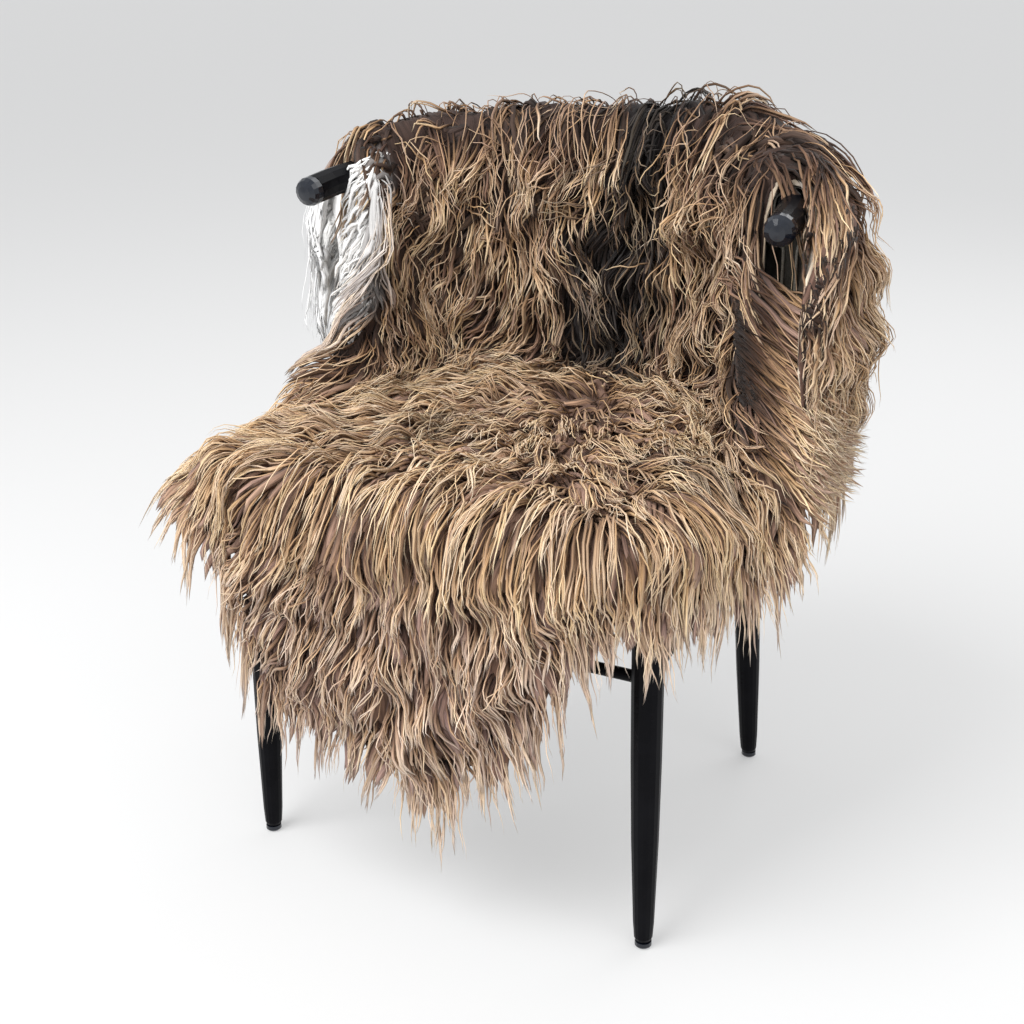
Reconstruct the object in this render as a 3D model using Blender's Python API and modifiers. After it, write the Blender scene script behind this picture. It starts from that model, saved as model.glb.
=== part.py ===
"""A long-haired sheepskin draped over a plain black chair with a wrap-round back rail.

Units are metres, +Z is up and the chair faces -Y. Shapes are worked out about a point on the floor
between the feet, and in the end all of it moves so that the origin is at the middle of the bounding
box's underside.
The hide is one sheet. Each of its sections runs out from the middle of the seat in its own direction: to the
front and sides it bends over the seat's edge and hangs, and to the back it climbs the back pad, goes over the
rail and falls behind.
"""

import math
from collections import namedtuple

import bmesh
import bpy
import numpy as np
from mathutils import Matrix, Vector

# Gap between pieces that touch.
GAP = 0.0003

# Seat
SEAT_TOP = 0.452
SEAT_THICKNESS = 0.034
SEAT_EDGE_RADIUS = 0.012
SEAT_CENTRE_Y = -0.020
SEAT_SIDE = 0.252
SEAT_FRONT = 0.232
SEAT_BACK = 0.190
SEAT_SQUARENESS = 5.0

# Legs: where each axis meets the floor and how far it shifts for each metre of height
FRONT_FOOT = (0.2414, -0.2116)
FRONT_SHIFT = (-0.0158, 0.0200)
REAR_FOOT = (0.2060, 0.2116)
REAR_SHIFT = (-0.0300, -0.0725)
FRONT_LEG_TOP = 0.4175
TURNED_SIDES = 16
MERGE_DISTANCE = 0.00001
GLIDE_HEIGHT = 0.0068
LEG_FOOT = 0.0080
LEG_TOP_GAP = 0.0030

# Under-frame
APRON_HEIGHT = 0.040
APRON_THICKNESS = 0.018
APRON_TOP = 0.4170
STRETCHER_HEIGHT = 0.312
STRETCHER_RADIUS = 0.0065
SOCKET_DEPTH = 0.0080

# Back rail, a tube bent round the sitter
RAIL_RADIUS = 0.0167
RAIL_SIDE = 0.2817
RAIL_BACK = 0.235
RAIL_ROUNDNESS = 2.4
RAIL_END_HEIGHT = 0.724
RAIL_RISE = 0.034
RAIL_RISE_SHAPE = 0.9
RAIL_END_DEG = 4.0
RAIL_END_POINTS = 4
CAP_LENGTH = 0.018

# Back pad, a leather sleeve on the rail with a flat panel below it
PAD_END_DEG = 20.5
PAD_RADIUS = 0.0200
PAD_THICKNESS = 0.0140
PAD_DROP = 0.180
PAD_NECK = 0.048
PAD_STATIONS = 21
BORE_GAP = 0.0008

# Outline of the back pad's cross-section, from its top round one side: (outward, up) from the rail's middle
PAD_OUTLINE = (
    (0.0, PAD_RADIUS),
    (0.60 * PAD_RADIUS, 0.80 * PAD_RADIUS),
    (0.97 * PAD_RADIUS, 0.25 * PAD_RADIUS),
    (0.96 * PAD_RADIUS, -0.35 * PAD_RADIUS),
    (0.75 * PAD_RADIUS, -1.10 * PAD_RADIUS),
    (PAD_THICKNESS / 2, -PAD_NECK),
    (PAD_THICKNESS / 2, 0.006 - PAD_DROP),
    (PAD_THICKNESS / 2 - 0.003, -PAD_DROP),
)

# Profiles of the turned pieces: (height, radius)
FRONT_PROFILE = (
    (LEG_FOOT, 0.0084),
    (0.012, 0.0100),
    (0.030, 0.0113),
    (0.130, 0.0145),
    (0.220, 0.0160),
    (0.300, 0.0165),
    (FRONT_LEG_TOP, 0.0160),
)
REAR_PROFILE = (
    (LEG_FOOT, 0.0084),
    (0.012, 0.0100),
    (0.030, 0.0113),
    (0.130, 0.0145),
    (0.220, 0.0160),
    (0.300, 0.0165),
    (0.400, 0.0150),
    (0.480, 0.0105),
)
GLIDE_PROFILE = ((0.0, 0.0070), (0.0022, 0.0092), (GLIDE_HEIGHT, 0.0090))
CAP_PROFILE = (
    (0.0, RAIL_RADIUS - 0.0010),
    (0.0010, RAIL_RADIUS),
    (CAP_LENGTH * 0.50, RAIL_RADIUS),
    (CAP_LENGTH * 0.78, RAIL_RADIUS * 0.86),
    (CAP_LENGTH * 0.95, RAIL_RADIUS * 0.50),
    (CAP_LENGTH, RAIL_RADIUS * 0.12),
)

# Hide
HIDE_CLEARANCE = 0.0030
HIDE_EDGE_SIDE = 0.264
HIDE_EDGE_FRONT = 0.248
HIDE_EDGE_SQUARENESS = 6.0
CREST_LIFT = 0.009
PAD_CLEARANCE = 0.0060
EDGE_BEND = 0.030
CREASE_BEND = 0.085
CREST_BEND = 0.024
RIM_PILE_SHARE = 0.34
RIM_TAPER = 0.055
SEAT_RINGS = 4
HANG_RINGS = 18
WIDE_STEP_DEG = 5.0
CLOSE_STEP_DEG = 1.5
CLOSE_RANGES = ((18.0, 33.0), (157.0, 172.0))

# One row for each section of the hide, by the direction it runs from the middle of the seat.
# toward: degrees, 0 is the chair's +X side, 90 its back and 270 its front.
# climbs: 1 where the section goes up the back pad, 0 where it hangs, and between them where it stands out.
# hang: degrees below level at which it first hangs.
# past: length of skin beyond the seat's edge or the foot of the back pad.
# pile: depth of the wool.
# sway: degrees that the part fallen behind the rail has turned, where the skin spreads.
Section = namedtuple("Section", "toward climbs hang past pile sway")
SECTIONS = (
    Section(toward=0, climbs=0.25, hang=26, past=0.095, pile=0.040, sway=0),
    Section(toward=6, climbs=0.62, hang=30, past=0.120, pile=0.040, sway=0),
    Section(toward=12, climbs=1.00, hang=34, past=0.180, pile=0.040, sway=0),
    Section(toward=17, climbs=1.00, hang=34, past=0.290, pile=0.036, sway=0),
    Section(toward=19, climbs=1.00, hang=34, past=0.345, pile=0.036, sway=-12),
    Section(toward=22, climbs=1.00, hang=34, past=0.440, pile=0.036, sway=-36),
    Section(toward=25, climbs=1.00, hang=34, past=0.560, pile=0.036, sway=-35),
    Section(toward=30, climbs=1.00, hang=34, past=0.640, pile=0.040, sway=-30),
    Section(toward=38, climbs=1.00, hang=34, past=0.655, pile=0.046, sway=-20),
    Section(toward=50, climbs=1.00, hang=34, past=0.550, pile=0.046, sway=-8),
    Section(toward=68, climbs=1.00, hang=34, past=0.480, pile=0.044, sway=0),
    Section(toward=85, climbs=1.00, hang=34, past=0.490, pile=0.044, sway=0),
    Section(toward=100, climbs=1.00, hang=34, past=0.510, pile=0.044, sway=0),
    Section(toward=116, climbs=1.00, hang=34, past=0.480, pile=0.040, sway=0),
    Section(toward=130, climbs=1.00, hang=34, past=0.510, pile=0.038, sway=0),
    Section(toward=142, climbs=1.00, hang=34, past=0.530, pile=0.032, sway=0),
    Section(toward=150, climbs=1.00, hang=34, past=0.540, pile=0.026, sway=3),
    Section(toward=156, climbs=1.00, hang=34, past=0.510, pile=0.024, sway=5),
    Section(toward=160, climbs=1.00, hang=34, past=0.360, pile=0.026, sway=5),
    Section(toward=164, climbs=1.00, hang=34, past=0.240, pile=0.030, sway=0),
    Section(toward=170, climbs=1.00, hang=34, past=0.140, pile=0.032, sway=0),
    Section(toward=177, climbs=0.60, hang=12, past=0.070, pile=0.034, sway=0),
    Section(toward=185, climbs=0.05, hang=10, past=0.050, pile=0.034, sway=0),
    Section(toward=196, climbs=0.00, hang=9, past=0.055, pile=0.034, sway=0),
    Section(toward=207, climbs=0.00, hang=8, past=0.070, pile=0.034, sway=0),
    Section(toward=215, climbs=0.00, hang=14, past=0.062, pile=0.034, sway=0),
    Section(toward=222, climbs=0.00, hang=36, past=0.060, pile=0.034, sway=0),
    Section(toward=229, climbs=0.00, hang=74, past=0.062, pile=0.036, sway=0),
    Section(toward=233, climbs=0.00, hang=84, past=0.150, pile=0.038, sway=0),
    Section(toward=237, climbs=0.00, hang=88, past=0.210, pile=0.040, sway=0),
    Section(toward=246, climbs=0.00, hang=88, past=0.235, pile=0.040, sway=0),
    Section(toward=257, climbs=0.00, hang=88, past=0.245, pile=0.040, sway=0),
    Section(toward=267, climbs=0.00, hang=88, past=0.262, pile=0.040, sway=0),
    Section(toward=276, climbs=0.00, hang=88, past=0.282, pile=0.040, sway=0),
    Section(toward=287, climbs=0.00, hang=88, past=0.245, pile=0.040, sway=0),
    Section(toward=295, climbs=0.00, hang=88, past=0.215, pile=0.040, sway=0),
    Section(toward=301, climbs=0.00, hang=88, past=0.165, pile=0.040, sway=0),
    Section(toward=306, climbs=0.00, hang=86, past=0.085, pile=0.040, sway=0),
    Section(toward=313, climbs=0.00, hang=80, past=0.062, pile=0.040, sway=0),
    Section(toward=321, climbs=0.00, hang=76, past=0.062, pile=0.040, sway=0),
    Section(toward=331, climbs=0.00, hang=68, past=0.064, pile=0.040, sway=0),
    Section(toward=342, climbs=0.00, hang=56, past=0.072, pile=0.040, sway=0),
    Section(toward=352, climbs=0.05, hang=36, past=0.082, pile=0.040, sway=0),
)
# Lengths of skin past the first run between which it turns, and how far it stands off for each degree.
SWAY_STARTS = 0.345
SWAY_FULL = 0.480
SWAY_STAND_OFF = 0.0007

# Soft folds of the hanging skin: outward waves that grow with the length that hangs.
# around: waves in a full turn, turn: degrees that shift them, depth: of a wave at full length.
Fold = namedtuple("Fold", "around turn depth")
FOLDS = (
    Fold(around=17, turn=20, depth=0.007),
    Fold(around=29, turn=75, depth=0.004),
)
FOLD_FULL_AT = 0.20

# Lumps where locks lie together in the pile, as shares of its depth.
Lump = namedtuple("Lump", "around along turn share")
LUMPS = (
    Lump(around=11, along=8, turn=0, share=0.15),
    Lump(around=17, along=-12, turn=50, share=0.13),
    Lump(around=7, along=17, turn=110, share=0.10),
)

# Wool that hangs past the skin's rim: strips between two directions, each with locks of a length.
# start, end: degrees; locks: how many; length: of a lock; droop: its turn from the skin to straight down.
Rim = namedtuple("Rim", "name start end locks length droop")
RIMS = (
    Rim(name="rim_wool_front_left", start=236, end=249, locks=10, length=0.062, droop=0.5),
    Rim(name="rim_wool_front", start=252, end=266, locks=10, length=0.064, droop=0.5),
    Rim(name="rim_wool_front_tip", start=269, end=284, locks=11, length=0.064, droop=0.5),
    Rim(name="rim_wool_front_right", start=287, end=302, locks=11, length=0.064, droop=0.5),
    Rim(name="rim_wool_right_corner", start=309, end=327, locks=12, length=0.066, droop=0.8),
    Rim(name="rim_wool_right_side", start=330, end=357, locks=12, length=0.062, droop=0.8),
    Rim(name="rim_wool_right_notch", start=25.4, end=28, locks=6, length=0.060, droop=0.7),
    Rim(name="rim_wool_back_right", start=31.5, end=46, locks=11, length=0.068, droop=0.7),
    Rim(name="rim_wool_back_right_inner", start=51, end=70, locks=10, length=0.066, droop=0.7),
    Rim(name="rim_wool_back_middle", start=74, end=97, locks=11, length=0.066, droop=0.7),
    Rim(name="rim_wool_back_left_inner", start=100.5, end=123, locks=11, length=0.066, droop=0.7),
    Rim(name="rim_wool_back_left", start=126.5, end=154, locks=15, length=0.056, droop=0.7),
    Rim(name="rim_wool_left_side", start=188, end=203, locks=8, length=0.046, droop=0.5),
    Rim(name="rim_wool_left_corner", start=206.5, end=229, locks=12, length=0.048, droop=0.5),
)
RIM_GAP = 0.0024
RIM_WIDTH = 0.0080
RIM_THICKNESS = 0.0085
LOCK_SHARE = 0.62
LOCK_TAPER = (1.0, 0.80, 0.14)
LOCK_LEAN = 0.10
LOCK_SEED = 11

# Materials: colour, roughness
BLACK_PAINT = ("black_frame", (0.012, 0.012, 0.013), 0.38)
BLACK_RUBBER = ("black_cap", (0.015, 0.015, 0.017), 0.30)
DARK_LEATHER = ("dark_leather", (0.040, 0.036, 0.030), 0.55)
BLACK_SEAT = ("seat_leather", (0.020, 0.019, 0.018), 0.60)
BROWN_WOOL = ("brown_wool", (0.270, 0.180, 0.120), 0.90)


def clear_scene():
    for old in list(bpy.data.objects):
        bpy.data.objects.remove(old)


def make_collection(name, hidden=False):
    collection = bpy.data.collections.new(name)
    collection.hide_render = hidden
    bpy.context.scene.collection.children.link(collection)
    return collection


def material(spec):
    name, colour, roughness = spec
    found = bpy.data.materials.get(name)
    if found:
        return found
    made = bpy.data.materials.new(name)
    made.use_nodes = True
    shader = made.node_tree.nodes["Principled BSDF"]
    shader.inputs["Base Color"].default_value = (*colour, 1.0)
    shader.inputs["Roughness"].default_value = roughness
    shader.inputs["Metallic"].default_value = 0.0
    return made


def add_object(name, mesh, collection, finish=None, place=None):
    made = bpy.data.objects.new(name, mesh)
    collection.objects.link(made)
    if finish:
        mesh.materials.append(material(finish))
    if place is not None:
        made.location = place
    return made


def mesh_from(bm, name, smooth_deg=40):
    bmesh.ops.recalc_face_normals(bm, faces=bm.faces)
    mesh = bpy.data.meshes.new(name)
    bm.to_mesh(mesh)
    bm.free()
    mesh.shade_smooth()
    mesh.set_sharp_from_angle(angle=math.radians(smooth_deg))
    return mesh


def smooth_step(value):
    value = np.clip(value, 0.0, 1.0)
    return value * value * (3 - 2 * value)


def rounded_plan(degrees, side, front, back, squareness):
    """Distance from the seat's middle to a rounded rectangle, in the given direction."""
    angle = np.radians(degrees)
    depth = np.where(np.sin(angle) < 0, front, back)
    across = (np.abs(np.cos(angle)) / side) ** squareness
    along = (np.abs(np.sin(angle)) / depth) ** squareness
    return (across + along) ** (-1 / squareness)


def rail_distance(degrees):
    return rounded_plan(degrees, RAIL_SIDE, RAIL_BACK, RAIL_BACK, RAIL_ROUNDNESS)


def rail_height(degrees):
    rise = np.clip(np.sin(np.radians(degrees)), 0, 1) ** RAIL_RISE_SHAPE
    return RAIL_END_HEIGHT + RAIL_RISE * rise


def plan_point(degrees, distance, height):
    """A point that far from the seat's middle in that direction, at that height."""
    angle = np.radians(degrees)
    return np.stack(
        np.broadcast_arrays(
            distance * np.cos(angle), SEAT_CENTRE_Y + distance * np.sin(angle), height
        ),
        axis=-1,
    )


def turned(name, profile, place, towards, collection, finish):
    """A turned piece: its profile of (height, radius), outer side from top to bottom, on a Screw modifier."""
    corners = [(0.0, profile[-1][0]), *[(r, z) for z, r in reversed(profile)], (0.0, profile[0][0])]
    mesh = bpy.data.meshes.new(name)
    edges = [(k, k + 1) for k in range(len(corners) - 1)]
    mesh.from_pydata([(r, 0.0, z) for r, z in corners], edges, [])
    made = add_object(name, mesh, collection, finish, place)
    made.rotation_euler = Vector(towards).to_track_quat("Z", "Y").to_euler()
    screw = made.modifiers.new("turn", "SCREW")
    screw.steps = screw.render_steps = TURNED_SIDES
    screw.use_merge_vertices = True
    screw.merge_threshold = MERGE_DISTANCE
    return made


def rod(name, start, end, radius, collection, finish=None, sides=16, end_radius=None):
    """A straight rod between two points."""
    start, end = Vector(start), Vector(end)
    run = end - start
    bm = bmesh.new()
    bmesh.ops.create_cone(
        bm,
        cap_ends=True,
        segments=sides,
        radius1=radius,
        radius2=end_radius or radius,
        depth=run.length,
        matrix=Matrix.Translation((start + end) / 2) @ run.to_track_quat("Z", "Y").to_matrix().to_4x4(),
    )
    return add_object(name, mesh_from(bm, name), collection, finish)


def cut(target, cutter):
    modifier = target.modifiers.new("socket", "BOOLEAN")
    modifier.operation = "DIFFERENCE"
    modifier.object = cutter
    cutter.hide_render = True
    cutter.display_type = "WIRE"


def leg_axis(foot, shift, height, side):
    return Vector((side * (foot[0] + shift[0] * height), foot[1] + shift[1] * height, height))


def leg_radius(height):
    heights, radii = zip(*FRONT_PROFILE)
    return float(np.interp(height, heights, radii))


def rear_leg_top():
    """Height where a rear leg's axis comes up against the back pad's lower edge."""
    return float(rail_height(45.0)) - PAD_DROP - LEG_TOP_GAP


def make_legs(parts):
    legs = {}
    rear_profile = (*REAR_PROFILE, (rear_leg_top(), 0.0062))
    for side, side_name in ((-1, "left"), (1, "right")):
        for place, foot, shift, profile in (
            ("front", FRONT_FOOT, FRONT_SHIFT, FRONT_PROFILE),
            ("rear", REAR_FOOT, REAR_SHIFT, rear_profile),
        ):
            towards = (side * shift[0], shift[1], 1.0)
            ground = (side * foot[0], foot[1], 0.0)
            name = f"leg_{place}_{side_name}"
            legs[place, side] = turned(name, profile, ground, towards, parts, BLACK_PAINT)
            glide = f"glide_{place}_{side_name}"
            turned(glide, GLIDE_PROFILE, ground, (0.0, 0.0, 1.0), parts, BLACK_RUBBER)
    return legs


def make_stretchers(parts, cutters, legs):
    """Round stretchers whose ends sit in blind sockets in the legs."""
    runs = (
        ("stretcher_front", ("front", -1), ("front", 1)),
        ("stretcher_left", ("front", -1), ("rear", -1)),
        ("stretcher_right", ("front", 1), ("rear", 1)),
    )
    feet = {"front": (FRONT_FOOT, FRONT_SHIFT), "rear": (REAR_FOOT, REAR_SHIFT)}
    radius = leg_radius(STRETCHER_HEIGHT)
    for name, first, second in runs:
        ends = [leg_axis(*feet[place], STRETCHER_HEIGHT, side) for place, side in (first, second)]
        along = (ends[1] - ends[0]).normalized()
        inset = radius - SOCKET_DEPTH
        tip = [ends[0] + along * (inset + GAP), ends[1] - along * (inset + GAP)]
        rod(name, tip[0], tip[1], STRETCHER_RADIUS, parts, BLACK_PAINT)
        for number, (key, end, out) in enumerate(((first, ends[0], along), (second, ends[1], -along))):
            socket = rod(
                f"cutter_{name}_{number}",
                end + out * inset,
                end + out * (radius + SOCKET_DEPTH),
                STRETCHER_RADIUS + GAP,
                cutters,
            )
            cut(legs[key], socket)


def make_aprons(parts):
    """Flat rails under the seat, from leg to leg."""
    feet = {"front": (FRONT_FOOT, FRONT_SHIFT), "rear": (REAR_FOOT, REAR_SHIFT)}
    middle = APRON_TOP - APRON_HEIGHT / 2
    for name, first, second in (
        ("apron_front", ("front", -1), ("front", 1)),
        ("apron_rear", ("rear", -1), ("rear", 1)),
        ("apron_left", ("front", -1), ("rear", -1)),
        ("apron_right", ("front", 1), ("rear", 1)),
    ):
        ends = [leg_axis(*feet[place], middle, side) for place, side in (first, second)]
        along = ends[1] - ends[0]
        length = along.length - 2 * (leg_radius(middle) + 2 * GAP)
        bm = bmesh.new()
        size = Matrix.Diagonal((length, APRON_THICKNESS, APRON_HEIGHT, 1))
        bmesh.ops.create_cube(bm, size=1.0, matrix=size)
        bmesh.ops.bevel(bm, geom=bm.edges[:], offset=0.002, segments=1, affect="EDGES")
        turn = Matrix.Rotation(math.atan2(along.y, along.x), 4, "Z")
        bm.transform(Matrix.Translation((ends[0] + ends[1]) / 2) @ turn)
        add_object(name, mesh_from(bm, name), parts, BLACK_PAINT)


def make_seat(parts):
    """A padded slab with round corners and rolled edges, built as rings from its middle."""
    degrees = np.arange(0, 360, 7.5)
    reach = rounded_plan(degrees, SEAT_SIDE, SEAT_FRONT, SEAT_BACK, SEAT_SQUARENESS)
    bottom = SEAT_TOP - SEAT_THICKNESS
    radius = SEAT_EDGE_RADIUS
    rings = (
        (0.5, SEAT_TOP),
        (1 - radius / 0.24, SEAT_TOP),
        (1 - 0.3 * radius / 0.24, SEAT_TOP - 0.3 * radius),
        (1.0, SEAT_TOP - radius),
        (1.0, bottom + 0.006),
        (1 - 0.006 / 0.24, bottom),
    )
    loops = [plan_point(degrees, reach * share, height) for share, height in rings]
    bm = bmesh.new()
    rows = [[bm.verts.new(point) for point in loop] for loop in loops]
    loft(bm, rows, closed=True)
    fan(bm, rows[0], (0, SEAT_CENTRE_Y, SEAT_TOP))
    fan(bm, rows[-1], (0, SEAT_CENTRE_Y, bottom))
    add_object("seat", mesh_from(bm, "seat"), parts, BLACK_SEAT)


def loft(bm, rows, closed=False):
    """Quads between neighbouring rows of corners; closed joins each row's ends."""
    for lower, upper in zip(rows, rows[1:]):
        count = len(lower)
        for k in range(count if closed else count - 1):
            bm.faces.new((lower[k], lower[(k + 1) % count], upper[(k + 1) % count], upper[k]))


def fan(bm, ring, middle):
    """Closes a ring with triangles to one middle point."""
    centre = bm.verts.new(middle)
    for k, corner in enumerate(ring):
        bm.faces.new((corner, ring[(k + 1) % len(ring)], centre))


def pad_directions():
    """The directions of the pad's stations; the rail has corners at the same ones."""
    return np.linspace(PAD_END_DEG, 180 - PAD_END_DEG, PAD_STATIONS)


def make_rail(parts):
    """The bent tube and its two round end caps."""
    arm = np.linspace(RAIL_END_DEG, PAD_END_DEG, RAIL_END_POINTS)[:-1]
    degrees = np.concatenate([arm, pad_directions(), 180 - arm[::-1]])
    route = plan_point(degrees, rail_distance(degrees), rail_height(degrees))
    curve = bpy.data.curves.new("back_rail", "CURVE")
    curve.dimensions = "3D"
    curve.bevel_depth = RAIL_RADIUS
    curve.bevel_resolution = 4
    curve.use_fill_caps = True
    spline = curve.splines.new("POLY")
    spline.points.add(len(route) - 1)
    for point, place in zip(spline.points, route):
        point.co = (*place, 1.0)
    rail = bpy.data.objects.new("back_rail", curve)
    curve.materials.append(material(BLACK_PAINT))
    parts.objects.link(rail)
    for name, end, inner in (("rail_cap_right", route[0], route[1]), ("rail_cap_left", route[-1], route[-2])):
        out = (Vector(end) - Vector(inner)).normalized()
        turned(name, CAP_PROFILE, Vector(end) + out * GAP, out, parts, BLACK_RUBBER)


def make_back_pad(parts):
    """The leather sleeve: a drop-shaped section with a bore for the rail, swept round the back."""
    half = np.array(PAD_OUTLINE)
    outer = np.concatenate([half, half[:0:-1] * (-1, 1)])
    count = len(outer)
    around = math.pi / 2 - 2 * math.pi * np.arange(count) / count
    bore = (RAIL_RADIUS + BORE_GAP) / math.cos(math.pi / count)
    inner = np.stack([bore * np.cos(around), bore * np.sin(around)], axis=1)
    bm = bmesh.new()
    rows = {"outer": [], "inner": []}
    for degrees in pad_directions():
        place, before, after = (
            plan_point(at, rail_distance(at), rail_height(at))
            for at in (degrees, degrees - 0.5, degrees + 0.5)
        )
        along = Vector(after - before).normalized()
        outward = along.cross(Vector((0, 0, 1))).normalized()
        upward = outward.cross(along)
        for key, outline in (("outer", outer), ("inner", inner)):
            rows[key].append(
                [bm.verts.new(Vector(place) + outward * a + upward * b) for a, b in outline]
            )
    for key in rows:
        loft(bm, rows[key], closed=True)
    for end in (0, -1):
        loft(bm, [rows["outer"][end], rows["inner"][end]], closed=True)
    add_object("back_pad", mesh_from(bm, "back_pad"), parts, DARK_LEATHER)


def section_values(degrees):
    """Each column of SECTIONS at these directions, eased between its rows."""
    starts = np.array([s.toward for s in SECTIONS], float)
    degrees = np.mod(degrees, 360)
    row = np.searchsorted(starts, degrees, side="right") - 1
    after = (row + 1) % len(SECTIONS)
    gap = np.mod(starts[after] - starts[row], 360)
    share = (degrees - starts[row]) / gap
    share = 0.5 * share + 0.5 * smooth_step(share)
    values = {}
    for column in ("climbs", "hang", "past", "pile", "sway"):
        data = np.array([getattr(s, column) for s in SECTIONS], float)
        values[column] = data[row] * (1 - share) + data[after] * share
    return values


def hide_path(degrees, values):
    """The five corners of a section before it is softened: (distance out, height), for every direction."""
    floor = SEAT_TOP + HIDE_CLEARANCE
    edge = rounded_plan(degrees, HIDE_EDGE_SIDE, HIDE_EDGE_FRONT, HIDE_EDGE_FRONT, HIDE_EDGE_SQUARENESS)
    reach = rail_distance(degrees)
    inside = reach - PAD_RADIUS - PAD_CLEARANCE
    outside = reach + PAD_RADIUS + PAD_CLEARANCE
    crest = rail_height(degrees) + PAD_RADIUS + CREST_LIFT
    level = np.full_like(edge, floor)
    climbing = ((inside, level), (inside, crest), (outside, crest), (outside + 0.02, crest - 0.6))
    hanging = [(edge, level)]
    for length, steeper in ((0.05, 0), (0.05, 12), (0.60, 20)):
        slope = np.radians(np.minimum(values["hang"] + steeper, 90))
        last = hanging[-1]
        hanging.append((last[0] + length * np.cos(slope), last[1] - length * np.sin(slope)))
    share = values["climbs"]
    corners = [(np.zeros_like(edge), level)]
    for up, down in zip(climbing, hanging):
        corners.append(tuple(share * a + (1 - share) * b for a, b in zip(up, down)))
    return np.array(corners)


def along_path(corners, lengths):
    """Points at these lengths along straight runs between the corners, for every direction at once."""
    steps = np.diff(corners, axis=0)
    runs = np.sqrt((steps**2).sum(axis=1))
    starts = np.concatenate([np.zeros((1, runs.shape[1])), np.cumsum(runs, axis=0)])
    place = corners[0] + (lengths / runs[0]) * steps[0]
    for k in range(1, len(runs)):
        beyond = lengths > starts[k]
        further = corners[k] + ((lengths - starts[k]) / runs[k]) * steps[k]
        place = np.where(beyond, further, place)
    return place


def hide_skin(degrees, share):
    """The skin's underside at these directions and shares of each section's length.

    A section's corners are softened by averaging the path over a short reach on both sides of each point.
    Where the fallen part has turned, it follows the rail's distance in its new direction and stands off it.
    """
    values = section_values(degrees)
    corners = hide_path(degrees, values)
    first_run = corners[1][0]
    length = share * (first_run + values["past"])
    far = smooth_step((length - first_run - 0.10) / 0.08)
    near_bend = EDGE_BEND + (CREASE_BEND - EDGE_BEND) * values["climbs"]
    bend = near_bend * (1 - far) + CREST_BEND * far
    offsets = np.linspace(-1, 1, 13)
    spots = np.mean([along_path(corners, length + offset * bend) for offset in offsets], axis=0)
    hanging = np.clip(length - first_run, 0, None)
    wave = sum(f.depth * (0.5 + 0.5 * np.sin(np.radians(f.around * degrees + f.turn))) for f in FOLDS)
    wave = wave * smooth_step(hanging / FOLD_FULL_AT) * (1 - values["climbs"])
    turn = values["sway"] * smooth_step((hanging - SWAY_STARTS) / (SWAY_FULL - SWAY_STARTS))
    follow = rail_distance(degrees + turn) / rail_distance(degrees)
    out = (spots[0] + wave) * follow + SWAY_STAND_OFF * np.abs(turn)
    return plan_point(degrees + turn, out, spots[1])


def hide_normal(degrees, share):
    """The direction of the wool side, from differences along and across the sections."""
    small = 0.25
    across = hide_skin(degrees + small, share) - hide_skin(degrees - small, share)
    lower, upper = np.clip(share - 0.004, 0.002, 1), share + 0.004
    out = hide_skin(degrees, upper) - hide_skin(degrees, lower)
    normal = np.cross(out, across)
    return normal / np.linalg.norm(normal, axis=-1, keepdims=True)


def pile_depth(degrees, share):
    """Depth of the wool: its section's depth, lumpy, and thinner towards the rim."""
    values = section_values(degrees)
    corners = hide_path(degrees, values)
    whole = corners[1][0] + values["past"]
    lumps = sum(
        lump.share * np.sin(np.radians(lump.around * degrees + 360 * lump.along * share * whole + lump.turn))
        for lump in LUMPS
    )
    from_rim = (1 - share) * whole
    taper = RIM_PILE_SHARE + (1 - RIM_PILE_SHARE) * smooth_step(from_rim / RIM_TAPER)
    centre = smooth_step(share / 0.15)
    return values["pile"] * (1 + lumps * centre) * taper


def section_directions():
    """Directions of the sections drawn: close together where the rim crosses the rail, wider elsewhere."""
    directions = []
    at = 0.0
    while at < 360 - 0.01:
        directions.append(at)
        inside = any(low <= at < high for low, high in CLOSE_RANGES)
        at += CLOSE_STEP_DEG if inside else WIDE_STEP_DEG
        for low, _ in CLOSE_RANGES:
            if directions[-1] < low < at:
                at = low
    return np.array(directions)


def make_hide(parts):
    """The sheepskin: skin below, lumpy wool above, joined at the rim.

    Quads where the rim crosses the rail are skewed. Split along the shorter diagonal, they follow the
    hide over the rail and don't cut through what it lies on.
    """
    directions = section_directions()
    values = section_values(directions)
    corners = hide_path(directions, values)
    whole = corners[1][0] + values["past"]
    edge_share = corners[1][0] / whole
    bm = bmesh.new()
    skin_rows, wool_rows = [], []
    rings = [(k / SEAT_RINGS, 0.0) for k in range(1, SEAT_RINGS)]
    rings += [(1.0, k / HANG_RINGS) for k in range(HANG_RINGS + 1)]
    inner_part = 0.80
    for on_seat, beyond in rings:
        share = edge_share * inner_part * on_seat + (1 - edge_share * inner_part) * beyond
        skin = hide_skin(directions, share)
        wool = skin + hide_normal(directions, share) * pile_depth(directions, share)[:, None]
        skin_rows.append([bm.verts.new(point) for point in skin])
        wool_rows.append([bm.verts.new(point) for point in wool])
    loft(bm, skin_rows, closed=True)
    loft(bm, wool_rows, closed=True)
    loft(bm, [skin_rows[-1], wool_rows[-1]], closed=True)
    floor = SEAT_TOP + HIDE_CLEARANCE
    middle_pile = float(np.mean(values["pile"]))
    fan(bm, skin_rows[0], (0, SEAT_CENTRE_Y, floor))
    fan(bm, wool_rows[0], (0, SEAT_CENTRE_Y, floor + middle_pile))
    bmesh.ops.triangulate(bm, faces=bm.faces, quad_method="SHORT_EDGE")
    add_object("sheepskin", mesh_from(bm, "sheepskin", smooth_deg=70), parts, BROWN_WOOL)


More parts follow.
